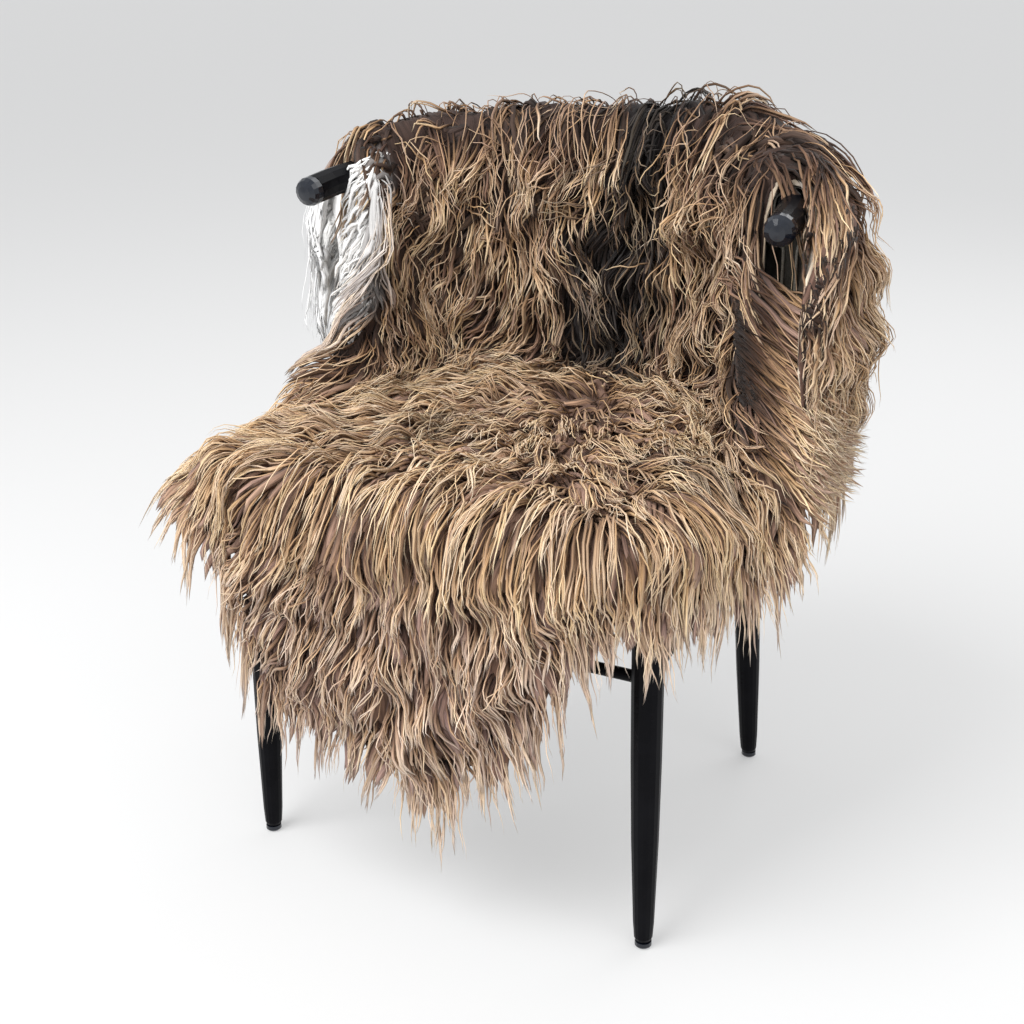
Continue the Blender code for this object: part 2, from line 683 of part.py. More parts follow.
def rim_line():
    """The hide's drawn rim: directions, mid-thickness points, the way out of the skin, and the wool side."""
    degrees = section_directions()
    degrees = np.concatenate([degrees, [360 + degrees[0]]])
    end = np.ones_like(degrees)
    skin = hide_skin(degrees, end)
    normal = hide_normal(degrees, end)
    middle = skin + normal * (pile_depth(degrees, end) / 2)[:, None]
    onward = np.roll(middle[:-1], -1, axis=0) - np.roll(middle[:-1], 1, axis=0)
    onward = np.concatenate([onward, onward[:1]])
    out = np.cross(onward, normal)
    out = out / np.linalg.norm(out, axis=-1, keepdims=True)
    return degrees, middle, out, normal


def rim_frame(start, end, marks):
    """The rim's points and directions at marks, which run from 0 at the start direction to 1 at the end."""
    degrees, middle, out, normal = rim_line()
    gone = np.concatenate([[0], np.cumsum(np.linalg.norm(np.diff(middle, axis=0), axis=1))])
    first, last = np.interp((start, end), degrees, gone)
    spots = first + marks * (last - first)
    frame = [
        np.stack([np.interp(spots, gone, data[:, k]) for k in range(3)], axis=1)
        for data in (middle, out, normal)
    ]
    frame[1] /= np.linalg.norm(frame[1], axis=1, keepdims=True)
    frame[2] /= np.linalg.norm(frame[2], axis=1, keepdims=True)
    return frame


def make_rim(rim, parts, random):
    """A narrow strip along the rim, and locks that grow from alternate stretches of its outer face."""
    wide, narrow = LOCK_SHARE, 1 - LOCK_SHARE
    marks = np.concatenate([[0], np.cumsum(np.tile([wide, narrow], rim.locks))])[:-1]
    middle, out, normal = rim_frame(rim.start, rim.end, marks / marks[-1])
    mean_out = out.mean(axis=0)
    bm = bmesh.new()
    rows = []
    for point, ahead, side in zip(middle, out, normal):
        half = side * RIM_THICKNESS / 2
        near, far = point + ahead * RIM_GAP, point + ahead * (RIM_GAP + RIM_WIDTH)
        rows.append([bm.verts.new(p) for p in (near - half, far - half, far + half, near + half)])
    for k, (first, second) in enumerate(zip(rows, rows[1:])):
        for side in range(4):
            corners = (first[side], second[side], second[(side + 1) % 4], first[(side + 1) % 4])
            if side == 1 and k % 2 == 0:
                grow_lock(bm, corners, rim, (out[k] + out[k + 1]) / 4 + mean_out / 2, random)
            else:
                bm.faces.new(corners)
    bm.faces.new(rows[0])
    bm.faces.new(rows[-1])
    add_object(rim.name, mesh_from(bm, rim.name), parts, BROWN_WOOL)


def grow_lock(bm, root, rim, out, random):
    """A four-sided lock from one stretch of the strip, which turns towards straight down."""
    centre = sum((corner.co for corner in root), Vector()) / 4
    offsets = [corner.co - centre for corner in root]
    direction = Vector(out)
    down = Vector((0, 0, -1))
    length = rim.length * random.uniform(0.78, 1.08)
    lean = Vector(random.uniform(-LOCK_LEAN, LOCK_LEAN, 3))
    step = length / (len(LOCK_TAPER) - 1)
    last = list(root)
    for taper in LOCK_TAPER[1:]:
        direction = (direction * (1 - rim.droop * 0.5) + down * rim.droop * 0.5 + lean).normalized()
        centre = centre + direction * step
        ring = [bm.verts.new(centre + offset * taper) for offset in offsets]
        for k in range(4):
            bm.faces.new((last[k], last[(k + 1) % 4], ring[(k + 1) % 4], ring[k]))
        last = ring
    bm.faces.new(last)


def centre_on_origin():
    """Moves everything so that the origin is at the middle of the bounding box's underside."""
    points = [
        vertex.co + made.location
        for made in bpy.data.objects
        if made.type == "MESH" and not made.hide_render
        for vertex in made.data.vertices
    ]
    for axis in (0, 1):
        across = [point[axis] for point in points]
        middle = (min(across) + max(across)) / 2
        for made in bpy.data.objects:
            made.location[axis] -= middle


def build():
    clear_scene()
    parts = make_collection("sheepskin_on_chair")
    cutters = make_collection("cutters", hidden=True)
    legs = make_legs(parts)
    make_stretchers(parts, cutters, legs)
    make_aprons(parts)
    make_seat(parts)
    make_rail(parts)
    make_back_pad(parts)
    make_hide(parts)
    random = np.random.default_rng(LOCK_SEED)
    for rim in RIMS:
        make_rim(rim, parts, random)
    centre_on_origin()


build()
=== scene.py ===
# %% [markdown]
# A long-haired brown sheepskin lies over a plain black chair. The chair and the hide's main form come in
# as a fixed frame of solids. This lesson dresses them: a thin leather hide, a dense undercoat, and then
# thousands of wool locks that are grown over the hide as whole numpy arrays.
# Blender has a hair system, but its strands have no mesh. Here each lock is a small closed mesh, so that
# the wool can be exported, weighed and looked at from any side.

import math

import bpy
import numpy as np
from mathutils import Matrix, Vector


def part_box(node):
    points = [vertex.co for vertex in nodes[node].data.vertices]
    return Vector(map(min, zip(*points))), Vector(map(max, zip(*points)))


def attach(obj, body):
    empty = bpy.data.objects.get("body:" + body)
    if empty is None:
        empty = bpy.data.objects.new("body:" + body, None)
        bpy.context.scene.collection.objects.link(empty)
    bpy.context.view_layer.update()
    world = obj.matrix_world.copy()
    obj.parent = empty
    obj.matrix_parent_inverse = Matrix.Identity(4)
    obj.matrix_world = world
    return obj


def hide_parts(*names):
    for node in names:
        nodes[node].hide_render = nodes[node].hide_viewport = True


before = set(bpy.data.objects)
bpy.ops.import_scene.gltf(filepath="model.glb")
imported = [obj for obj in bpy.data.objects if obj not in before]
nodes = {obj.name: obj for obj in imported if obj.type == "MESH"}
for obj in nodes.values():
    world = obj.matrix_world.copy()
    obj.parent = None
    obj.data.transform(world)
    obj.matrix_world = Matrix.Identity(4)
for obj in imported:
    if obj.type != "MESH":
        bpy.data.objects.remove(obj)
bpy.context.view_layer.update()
print("nodes in the frame:", len(nodes))

# %% [markdown]
# Every length below is in metres and every direction in degrees, where 0 is the chair's right, 90 its back
# and 270 its front. The hide is described from one point on the seat. That point is found from the frame:
# the back rail is symmetric from left to right, and the seat reaches a known distance forward.

# %% Find the middle of the hide
SEAT_FRONT = 0.232
rail_low, rail_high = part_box("back_rail")
seat_low, seat_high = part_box("seat")
MIDDLE_X = (rail_low[0] + rail_high[0]) / 2
MIDDLE_Y = seat_low[1] + SEAT_FRONT
SEAT_TOP = seat_high[2]
print("middle of the hide:", round(MIDDLE_X, 4), round(MIDDLE_Y, 4), "seat top:", round(SEAT_TOP, 4))

# %% [markdown]
# The hide follows the solid that stands for it. One row of the table is one section that runs out from the
# middle: how much it climbs the back, how steeply it hangs, how far it goes past the seat, how deep its
# wool is, and how far its fallen end sways. Between rows the values are eased.

# %% The hide's sections
HIDE_CLEARANCE = 0.0030
HIDE_SIDE, HIDE_FRONT, HIDE_SQUARENESS = 0.264, 0.248, 6.0
RAIL_SIDE, RAIL_BACK, RAIL_ROUNDNESS = 0.2817, 0.235, 2.4
RAIL_HEIGHT, RAIL_RISE, RAIL_RISE_SHAPE = 0.724, 0.034, 0.9
PAD_RADIUS, PAD_CLEARANCE, CREST_LIFT = 0.0200, 0.0060, 0.009
EDGE_BEND, CREASE_BEND, CREST_BEND = 0.030, 0.085, 0.024
SWAY_STARTS, SWAY_FULL, SWAY_STAND_OFF = 0.345, 0.480, 0.0007
COLUMNS = ("toward", "climbs", "hang", "past", "pile", "sway")
SECTIONS = np.array(
    [
        (0, 0.25, 26, 0.095, 0.040, 0),
        (6, 0.62, 30, 0.120, 0.040, 0),
        (12, 1.00, 34, 0.180, 0.040, 0),
        (17, 1.00, 34, 0.290, 0.036, 0),
        (19, 1.00, 34, 0.345, 0.036, -12),
        (22, 1.00, 34, 0.440, 0.036, -36),
        (25, 1.00, 34, 0.560, 0.036, -35),
        (30, 1.00, 34, 0.640, 0.040, -30),
        (38, 1.00, 34, 0.655, 0.046, -20),
        (50, 1.00, 34, 0.550, 0.046, -8),
        (68, 1.00, 34, 0.480, 0.044, 0),
        (85, 1.00, 34, 0.490, 0.044, 0),
        (100, 1.00, 34, 0.510, 0.044, 0),
        (116, 1.00, 34, 0.480, 0.040, 0),
        (130, 1.00, 34, 0.510, 0.038, 0),
        (142, 1.00, 34, 0.530, 0.032, 0),
        (150, 1.00, 34, 0.540, 0.026, 3),
        (156, 1.00, 34, 0.510, 0.024, 5),
        (160, 1.00, 34, 0.360, 0.026, 5),
        (164, 1.00, 34, 0.240, 0.030, 0),
        (170, 1.00, 34, 0.140, 0.032, 0),
        (177, 0.60, 12, 0.070, 0.034, 0),
        (185, 0.05, 10, 0.050, 0.034, 0),
        (196, 0.00, 9, 0.055, 0.034, 0),
        (207, 0.00, 8, 0.070, 0.034, 0),
        (215, 0.00, 14, 0.062, 0.034, 0),
        (222, 0.00, 36, 0.060, 0.034, 0),
        (229, 0.00, 74, 0.062, 0.036, 0),
        (233, 0.00, 84, 0.150, 0.038, 0),
        (237, 0.00, 88, 0.210, 0.040, 0),
        (246, 0.00, 88, 0.235, 0.040, 0),
        (257, 0.00, 88, 0.245, 0.040, 0),
        (267, 0.00, 88, 0.262, 0.040, 0),
        (276, 0.00, 88, 0.282, 0.040, 0),
        (287, 0.00, 88, 0.245, 0.040, 0),
        (295, 0.00, 88, 0.215, 0.040, 0),
        (301, 0.00, 88, 0.165, 0.040, 0),
        (306, 0.00, 86, 0.085, 0.040, 0),
        (313, 0.00, 80, 0.062, 0.040, 0),
        (321, 0.00, 76, 0.062, 0.040, 0),
        (331, 0.00, 68, 0.064, 0.040, 0),
        (342, 0.00, 56, 0.072, 0.040, 0),
        (352, 0.05, 36, 0.082, 0.040, 0),
    ]
)
FOLDS = ((17, 20, 0.007), (29, 75, 0.004))  # waves in a turn, degrees that shift them, depth
FOLD_FULL_AT = 0.20


def smooth_step(value):
    """0 below 0, 1 above 1, and an S-shaped ease between them."""
    value = np.clip(value, 0.0, 1.0)
    return value * value * (3 - 2 * value)


def section_values(degrees):
    """Each column of SECTIONS at these directions: half straight, half eased from row to row."""
    degrees = np.mod(degrees, 360)
    starts = SECTIONS[:, 0]
    row = np.searchsorted(starts, degrees, side="right") - 1
    after = (row + 1) % len(SECTIONS)
    share = (degrees - starts[row]) / np.mod(starts[after] - starts[row], 360)
    share = (0.5 * share + 0.5 * smooth_step(share))[..., None]
    mixed = SECTIONS[row] * (1 - share) + SECTIONS[after] * share
    return {name: mixed[..., k] for k, name in enumerate(COLUMNS)}


def rounded_plan(degrees, side, front, back, squareness):
    """Distance from the middle to a rounded rectangle, the superellipse |x/side|^n + |y/depth|^n = 1."""
    angle = np.radians(degrees)
    depth = np.where(np.sin(angle) < 0, front, back)
    across = (np.abs(np.cos(angle)) / side) ** squareness
    along = (np.abs(np.sin(angle)) / depth) ** squareness
    return (across + along) ** (-1 / squareness)


def rail_distance(degrees):
    """Distance from the middle to the centre of the back rail in that direction."""
    return rounded_plan(degrees, RAIL_SIDE, RAIL_BACK, RAIL_BACK, RAIL_ROUNDNESS)


# %% [markdown]
# A section's path is a few straight runs: out along the seat, then either down over its edge, or up the
# back pad, over the rail and down behind. The path is softened by averaging it over a short reach on both
# sides of each point, which is what a thick hide does over an edge. Far points are placed on the flat
# pattern of the hide, as if it lay on a table, so that hair can walk over it in any direction.


# %% The surface of the hide
def section_corners(degrees, values):
    """Corners of a section's path as (distance out, height), for every direction at once."""
    floor = SEAT_TOP + HIDE_CLEARANCE
    edge = rounded_plan(degrees, HIDE_SIDE, HIDE_FRONT, HIDE_FRONT, HIDE_SQUARENESS)
    reach = rail_distance(degrees)
    inside = reach - PAD_RADIUS - PAD_CLEARANCE
    outside = reach + PAD_RADIUS + PAD_CLEARANCE
    rise = np.clip(np.sin(np.radians(degrees)), 0, 1) ** RAIL_RISE_SHAPE
    crest = RAIL_HEIGHT + RAIL_RISE * rise + PAD_RADIUS + CREST_LIFT
    level = np.full_like(edge, floor)
    climbing = ((inside, level), (inside, crest), (outside, crest), (outside + 0.02, crest - 0.6))
    hanging = [(edge, level)]
    for length, steeper in ((0.05, 0), (0.05, 12), (0.60, 20)):
        slope = np.radians(np.minimum(values["hang"] + steeper, 90))
        last = hanging[-1]
        hanging.append((last[0] + length * np.cos(slope), last[1] - length * np.sin(slope)))
    share = values["climbs"]
    corners = [(np.zeros_like(edge), level)]
    for up, down in zip(climbing, hanging):
        corners.append(tuple(share * a + (1 - share) * b for a, b in zip(up, down)))
    return np.array(corners)


def along_path(corners, lengths):
    """Points at these lengths along the straight runs between the corners."""
    steps = np.diff(corners, axis=0)
    runs = np.sqrt((steps**2).sum(axis=1))
    starts = np.concatenate([np.zeros_like(runs[:1]), np.cumsum(runs, axis=0)])
    place = corners[0] + (lengths / runs[0]) * steps[0]
    for k in range(1, len(runs)):
        further = corners[k] + ((lengths - starts[k]) / runs[k]) * steps[k]
        place = np.where(lengths > starts[k], further, place)
    return place


def hide_point(degrees, length):
    """The hide's underside in that direction, at that length of skin from its middle."""
    values = section_values(degrees)
    corners = section_corners(degrees, values)
    first_run = corners[1][0]
    far = smooth_step((length - first_run - 0.10) / 0.08)
    near_bend = EDGE_BEND + (CREASE_BEND - EDGE_BEND) * values["climbs"]
    bend = near_bend * (1 - far) + CREST_BEND * far
    offsets = np.linspace(-1, 1, 13)
    spots = np.mean([along_path(corners, length + offset * bend) for offset in offsets], axis=0)
    hanging = np.clip(length - first_run, 0, None)
    wave = sum(d * (0.5 + 0.5 * np.sin(np.radians(n * degrees + t))) for n, t, d in FOLDS)
    out = spots[0] + wave * smooth_step(hanging / FOLD_FULL_AT) * (1 - values["climbs"])
    turn = values["sway"] * smooth_step((hanging - SWAY_STARTS) / (SWAY_FULL - SWAY_STARTS))
    follow = rail_distance(degrees + turn) / rail_distance(degrees)
    out = out * follow + SWAY_STAND_OFF * np.abs(turn)
    angle = np.radians(degrees + turn)
    return np.stack([MIDDLE_X + out * np.cos(angle), MIDDLE_Y + out * np.sin(angle), spots[1]], axis=-1)


def section_length(degrees):
    """Length of skin from the middle to the rim in that direction."""
    values = section_values(degrees)
    return section_corners(degrees, values)[1][0] + values["past"]


def pattern_point(pattern):
    """The hide's underside at points (a, b) of its flat pattern: direction atan2(b, a), length hypot(a, b)."""
    degrees = np.degrees(np.arctan2(pattern[..., 1], pattern[..., 0]))
    return hide_point(degrees, np.hypot(pattern[..., 0], pattern[..., 1]))


def pattern_frame(pattern, small=0.002):
    """How the hide's point moves with a and with b, and the wool side's normal, from small differences."""
    step_a, step_b = np.array([small, 0.0]), np.array([0.0, small])
    along_a = (pattern_point(pattern + step_a) - pattern_point(pattern - step_a)) / (2 * small)
    along_b = (pattern_point(pattern + step_b) - pattern_point(pattern - step_b)) / (2 * small)
    normal = np.cross(along_a, along_b)
    size = np.linalg.norm(normal, axis=-1, keepdims=True)
    return along_a, along_b, normal / size, size[..., 0]


lengths = section_length(np.arange(0.0, 360.0, 1.0))
print("skin from middle to rim:", round(float(lengths.min()), 3), "to", round(float(lengths.max()), 3))

# %% [markdown]
# Two helpers turn arrays into pieces. A mesh of this size is filled with foreach_set, which copies a whole
# array at once. Every piece rides on the frame's one body and names the finish that it takes.


# %% Helpers that make meshes and pieces
def mesh_from_arrays(name, points, faces, attributes=None):
    """A smooth mesh from points and a list of face arrays, one array for each number of corners."""
    mesh = bpy.data.meshes.new(name)
    mesh.vertices.add(len(points))
    mesh.vertices.foreach_set("co", np.ascontiguousarray(points, dtype=np.float32).ravel())
    corners = np.concatenate([face.ravel() for face in faces]).astype(np.int32)
    sizes = np.concatenate([np.full(len(face), face.shape[1]) for face in faces])
    starts = np.concatenate([[0], np.cumsum(sizes)[:-1]]).astype(np.int32)
    mesh.loops.add(len(corners))
    mesh.loops.foreach_set("vertex_index", corners)
    mesh.polygons.add(len(sizes))
    mesh.polygons.foreach_set("loop_start", starts)
    mesh.polygons.foreach_set("use_smooth", np.ones(len(sizes), dtype=bool))
    for key, values in (attributes or {}).items():
        layer = mesh.attributes.new(key, "FLOAT_VECTOR", "POINT")
        layer.data.foreach_set("vector", np.ascontiguousarray(values, dtype=np.float32).ravel())
    mesh.update(calc_edges=True)
    mesh.validate()
    return mesh


def add_piece(name, mesh, finish):
    """An object at the origin that rides on the frame and takes one finish."""
    made = bpy.data.objects.new(name, mesh)
    bpy.context.scene.collection.objects.link(made)
    mesh.materials.append(finish)
    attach(made, "root")
    triangles = sum(len(face.vertices) - 2 for face in mesh.polygons)
    print(name, "triangles:", triangles)
    return made


def short_split(points, quads):
    """Two triangles for each quad, split along the shorter of its two diagonals."""
    one = np.linalg.norm(points[quads[:, 0]] - points[quads[:, 2]], axis=1)
    other = np.linalg.norm(points[quads[:, 1]] - points[quads[:, 3]], axis=1)
    turned = np.where((one <= other)[:, None], quads, np.roll(quads, -1, axis=1))
    return np.concatenate([turned[:, [0, 1, 2]], turned[:, [0, 2, 3]]])


def shell_from_rings(lower, upper):
    """Faces of a closed shell between two stacks of rings of equal size, each closed round and over its middle.

    Each stack has shape (rings, around, 3). Its first ring is so small that one fan closes it.
    """
    rings, around = lower.shape[:2]
    count = rings * around
    ids = np.arange(count).reshape(rings, around)
    onward = np.roll(ids, -1, axis=1)
    quads = np.stack([ids[:-1], ids[1:], onward[1:], onward[:-1]], axis=-1).reshape(-1, 4)
    rim = np.stack([ids[-1], ids[-1] + count, onward[-1] + count, onward[-1]], axis=-1)
    middles = np.array([2 * count, 2 * count + 1])
    fan = np.stack([ids[0], onward[0], np.full(around, middles[1])], axis=-1)
    points = np.concatenate([upper.reshape(-1, 3), lower.reshape(-1, 3), lower[:1, :].mean(1), upper[:1].mean(1)])
    fan_upper = fan
    fan_lower = np.stack([onward[0] + count, ids[0] + count, np.full(around, middles[0])], axis=-1)
    quads = np.concatenate([quads, quads[:, ::-1] + count, rim])
    return points, [np.concatenate([short_split(points, quads), fan_upper, fan_lower])]


# %% [markdown]
# Finishes are node trees. A small helper adds a node, sets its values and links its inputs in one call, so
# that each finish reads as a short list. Effects used by several finishes are node groups with named
# sockets: hair streaks along a lock and a leather grain. The fine unevenness of paint is built in its finish.


# %% Helpers for node trees
def add_node(tree, kind, values=None, **settings):
    """Adds a node; a value that is a socket becomes a link, and any other is set on the input."""
    made = tree.nodes.new(kind)
    for key, value in settings.items():
        setattr(made, key, value)
    for key, value in (values or {}).items():
        if isinstance(value, bpy.types.NodeSocket):
            tree.links.new(value, made.inputs[key])
        else:
            made.inputs[key].default_value = value
    return made


def ramp(tree, factor, stops):
    """A colour ramp from (position, colour) stops; gives its colour socket."""
    made = add_node(tree, "ShaderNodeValToRGB", {"Fac": factor})
    band = made.color_ramp
    while len(band.elements) < len(stops):
        band.elements.new(1.0)
    for element, (position, colour) in zip(band.elements, stops):
        element.position = position
        element.color = (*colour, 1.0)
    return made.outputs["Color"]


def mix_colour(tree, factor, first, second, blend="MIX"):
    """Mixes two colours; a plain colour may be given as three numbers."""
    made = add_node(tree, "ShaderNodeMix", data_type="RGBA", blend_type=blend)
    for index, value in ((0, factor), (6, first), (7, second)):
        if isinstance(value, bpy.types.NodeSocket):
            tree.links.new(value, made.inputs[index])
        elif index == 0:
            made.inputs[index].default_value = value
        else:
            made.inputs[index].default_value = (*value, 1.0)
    return made.outputs[2]


def maths(tree, operation, first, second=0.5, clamp=False):
    """One Math node; gives its value socket."""
    made = add_node(tree, "ShaderNodeMath", operation=operation, use_clamp=clamp)
    for index, value in enumerate((first, second)):
        if isinstance(value, bpy.types.NodeSocket):
            tree.links.new(value, made.inputs[index])
        else:
            made.inputs[index].default_value = value
    return made.outputs[0]


def new_group(name, inputs, outputs):
    """A node group with named sockets; inputs are (name, kind, default)."""
    group = bpy.data.node_groups.new(name, "ShaderNodeTree")
    for label, kind, default in inputs:
        socket = group.interface.new_socket(label, in_out="INPUT", socket_type=kind)
        if default is not None:
            socket.default_value = default
    for label, kind in outputs:
        group.interface.new_socket(label, in_out="OUTPUT", socket_type=kind)
    return group, group.nodes.new("NodeGroupInput"), group.nodes.new("NodeGroupOutput")


def new_material(name):
    """A material with its tree and its Principled shader."""
    made = bpy.data.materials.new(name)
    made.use_nodes = True
    return made, made.node_tree, made.node_tree.nodes["Principled BSDF"]


def place_group(tree, group, values):
    """Places a node group in a tree."""
    made = tree.nodes.new("ShaderNodeGroup")
    made.node_tree = group
    for key, value in values.items():
        if isinstance(value, bpy.types.NodeSocket):
            tree.links.new(value, made.inputs[key])
        else:
            made.inputs[key].default_value = value
    return made


# %% [markdown]
# A lock of wool is many hairs that lie side by side. Each lock carries two attributes. "strand" holds where
# a point is across the lock, how far along it is, and a number of the lock's own. "coat" holds how light
# the lock is, how black, and how white; its black is partly the wool's own and partly painted shade, the
# shadow deep among the locks on the back. Streaks come from noise that is stretched along the lock.


# %% Shared effects
def streak_group():
    """Fine streaks along a lock: noise that changes fast across the strand and slowly along it."""
    group, inside, out = new_group(
        "hair_streaks",
        [("Strand", "NodeSocketVector", None), ("Depth", "NodeSocketFloat", 0.5)],
        [("Streak", "NodeSocketFloat"), ("Normal", "NodeSocketVector")],
    )
    parts = add_node(group, "ShaderNodeSeparateXYZ", {0: inside.outputs["Strand"]})
    across = maths(group, "MULTIPLY", parts.outputs[0], 9.0)
    along = maths(group, "MULTIPLY", parts.outputs[1], 2.2)
    own = maths(group, "MULTIPLY", parts.outputs[2], 97.0)
    spot = add_node(group, "ShaderNodeCombineXYZ", {0: across, 1: along, 2: own})
    noise = add_node(
        group, "ShaderNodeTexNoise", {"Vector": spot.outputs[0], "Scale": 1.0, "Detail": 2.0, "Roughness": 0.6}
    )
    bump = add_node(
        group,
        "ShaderNodeBump",
        {"Height": noise.outputs[0], "Strength": inside.outputs["Depth"], "Distance": 0.0012},
    )
    group.links.new(noise.outputs[0], out.inputs["Streak"])
    group.links.new(bump.outputs[0], out.inputs["Normal"])
    return group


def grain_group():
    """Leather grain: cells of a few millimetres with soft creases between them."""
    group, inside, out = new_group(
        "leather_grain",
        [("Scale", "NodeSocketFloat", 420.0), ("Depth", "NodeSocketFloat", 0.3)],
        [("Crease", "NodeSocketFloat"), ("Cloud", "NodeSocketFloat"), ("Normal", "NodeSocketVector")],
    )
    place = add_node(group, "ShaderNodeTexCoord")
    warp = add_node(
        group, "ShaderNodeTexNoise", {"Vector": place.outputs["Object"], "Scale": 60.0, "Detail": 3.0}
    )
    bent = add_node(
        group, "ShaderNodeMix", {0: 0.02}, data_type="VECTOR"
    )
    group.links.new(place.outputs["Object"], bent.inputs[4])
    group.links.new(warp.outputs["Color"], bent.inputs[5])
    cells = add_node(
        group,
        "ShaderNodeTexVoronoi",
        {"Vector": bent.outputs[1], "Scale": inside.outputs["Scale"]},
        feature="DISTANCE_TO_EDGE",
    )
    crease = maths(group, "MULTIPLY", cells.outputs["Distance"], 3.5, clamp=True)
    cloud = add_node(
        group, "ShaderNodeTexNoise", {"Vector": place.outputs["Object"], "Scale": 9.0, "Detail": 5.0}
    )
    bump = add_node(
        group,
        "ShaderNodeBump",
        {"Height": crease, "Strength": inside.outputs["Depth"], "Distance": 0.0006},
    )
    group.links.new(crease, out.inputs["Crease"])
    group.links.new(cloud.outputs[0], out.inputs["Cloud"])
    group.links.new(bump.outputs[0], out.inputs["Normal"])
    return group


STREAKS = streak_group()
GRAIN = grain_group()
print("shared effects:", STREAKS.name, "and", GRAIN.name)


# %% [markdown]
# The wool is darkest at its roots, a warm brown in the middle and golden to cream at the tips; the near-black
# of the roots is partly their own colour and partly painted shade, the shadow deep in the fleece. Some locks
# stay dark to the end. Two places differ: a black patch down the middle of the back, and a white one on the
# layer that has fallen behind the left arm.


# %% Wool finishes
def wool_material(name, light, dark, roughness, depth):
    """Wool: two ramps along the lock, mixed by how light the lock is, then blackened (black wool and painted shade)
    or whitened.
    """
    made, tree, shader = new_material(name)
    strand = add_node(tree, "ShaderNodeAttribute", attribute_name="strand")
    coat = add_node(tree, "ShaderNodeAttribute", attribute_name="coat")
    spot = add_node(tree, "ShaderNodeSeparateXYZ", {0: strand.outputs["Vector"]})
    kind = add_node(tree, "ShaderNodeSeparateXYZ", {0: coat.outputs["Vector"]})
    streaks = place_group(tree, STREAKS, {"Strand": strand.outputs["Vector"], "Depth": depth})
    colour = mix_colour(
        tree, kind.outputs[0], ramp(tree, spot.outputs[1], dark), ramp(tree, spot.outputs[1], light)
    )
    shade = add_node(
        tree, "ShaderNodeMapRange", {"Value": streaks.outputs["Streak"], 1: 0.25, 2: 0.75, 3: 0.45, 4: 1.45}
    )
    grey = add_node(tree, "ShaderNodeCombineColor", {0: shade.outputs[0], 1: shade.outputs[0], 2: shade.outputs[0]})
    colour = mix_colour(tree, 1.0, colour, grey.outputs[0], blend="MULTIPLY")
    tint = mix_colour(tree, spot.outputs[2], (1.0, 0.89, 0.68), (0.99, 0.94, 1.0))
    colour = mix_colour(tree, 1.0, colour, tint, blend="MULTIPLY")
    # The coat's black channel holds the black patch, grey patches and painted shade near the skin of the back.
    black = mix_colour(tree, 1.0, colour, (0.060, 0.066, 0.085), blend="MULTIPLY")
    colour = mix_colour(tree, kind.outputs[1], colour, black)
    white = mix_colour(tree, spot.outputs[1], (0.88, 0.87, 0.85), (0.97, 0.97, 0.97))
    colour = mix_colour(tree, kind.outputs[2], colour, white)
    tree.links.new(colour, shader.inputs["Base Color"])
    tree.links.new(streaks.outputs["Normal"], shader.inputs["Normal"])
    shader.inputs["Roughness"].default_value = roughness
    shader.inputs["Specular IOR Level"].default_value = 0.20
    shader.inputs["Sheen Weight"].default_value = 0.06
    shader.inputs["Sheen Roughness"].default_value = 0.45
    return made


# The first stops of each wool ramp are near-black: partly the wool's own dark roots, partly painted shade deep among
# the locks.
LIGHT_WOOL = [
    (0.00, (0.010, 0.005, 0.003)),
    (0.22, (0.120, 0.064, 0.038)),
    (0.50, (0.560, 0.385, 0.245)),
    (0.80, (0.920, 0.775, 0.590)),
    (1.00, (0.980, 0.910, 0.790)),
]
DARK_WOOL = [
    (0.00, (0.008, 0.004, 0.003)),
    (0.35, (0.075, 0.040, 0.028)),
    (0.75, (0.300, 0.190, 0.145)),
    (1.00, (0.480, 0.335, 0.265)),
]
UNDER_LIGHT = [
    (0.00, (0.020, 0.012, 0.010)),
    (0.40, (0.220, 0.145, 0.120)),
    (0.80, (0.460, 0.325, 0.270)),
    (1.00, (0.560, 0.425, 0.350)),
]
wool_deep = wool_material("wool_deep", UNDER_LIGHT, DARK_WOOL, 0.75, 0.9)
wool_long = wool_material("wool_long", LIGHT_WOOL, DARK_WOOL, 0.55, 0.7)
wool_fine = wool_material("wool_fine", LIGHT_WOOL, UNDER_LIGHT, 0.50, 0.4)
print("wool finishes:", wool_deep.name, wool_long.name, wool_fine.name)

# %% [markdown]
# The hide itself is a sheet of leather about two and a half millimetres thick, pale suede on its flesh
# side. It shows from behind and from below. It is made as rings of points that run round the hide, from
# its middle to its rim, once on each side of the sheet.

# %% The leather hide
LEATHER_THICKNESS = 0.0025


def ring_pattern(around, rings, inner=0.02):
    """Flat-pattern points of rings round the hide: length runs from a small middle ring to the rim."""
    degrees = np.arange(around) * 360.0 / around
    whole = section_length(degrees)
    share = np.linspace(inner, 1.0, rings)[:, None]
    length = share * whole[None, :]
    angle = np.radians(degrees)[None, :]
    pattern = np.stack([length * np.cos(angle), length * np.sin(angle)], axis=-1)
    return pattern, np.broadcast_to(degrees, length.shape), (1 - share) * whole[None, :]


def hide_layer(pattern, lift):
    """The hide's surface lifted along its normal by an array of heights."""
    return pattern_point(pattern) + pattern_frame(pattern)[2] * lift[..., None]


def suede_material():
    """Pale flesh side of the hide: soft clouds of cream and tan under a fine nap."""
    made, tree, shader = new_material("hide_suede")
    grain = place_group(tree, GRAIN, {"Scale": 900.0, "Depth": 0.25})
    colour = ramp(
        tree, grain.outputs["Cloud"], [(0.30, (0.50, 0.38, 0.26)), (0.55, (0.66, 0.55, 0.42)), (0.80, (0.74, 0.66, 0.54))]
    )
    tree.links.new(colour, shader.inputs["Base Color"])
    tree.links.new(grain.outputs["Normal"], shader.inputs["Normal"])
    shader.inputs["Roughness"].default_value = 0.92
    shader.inputs["Sheen Weight"].default_value = 0.3
    return made


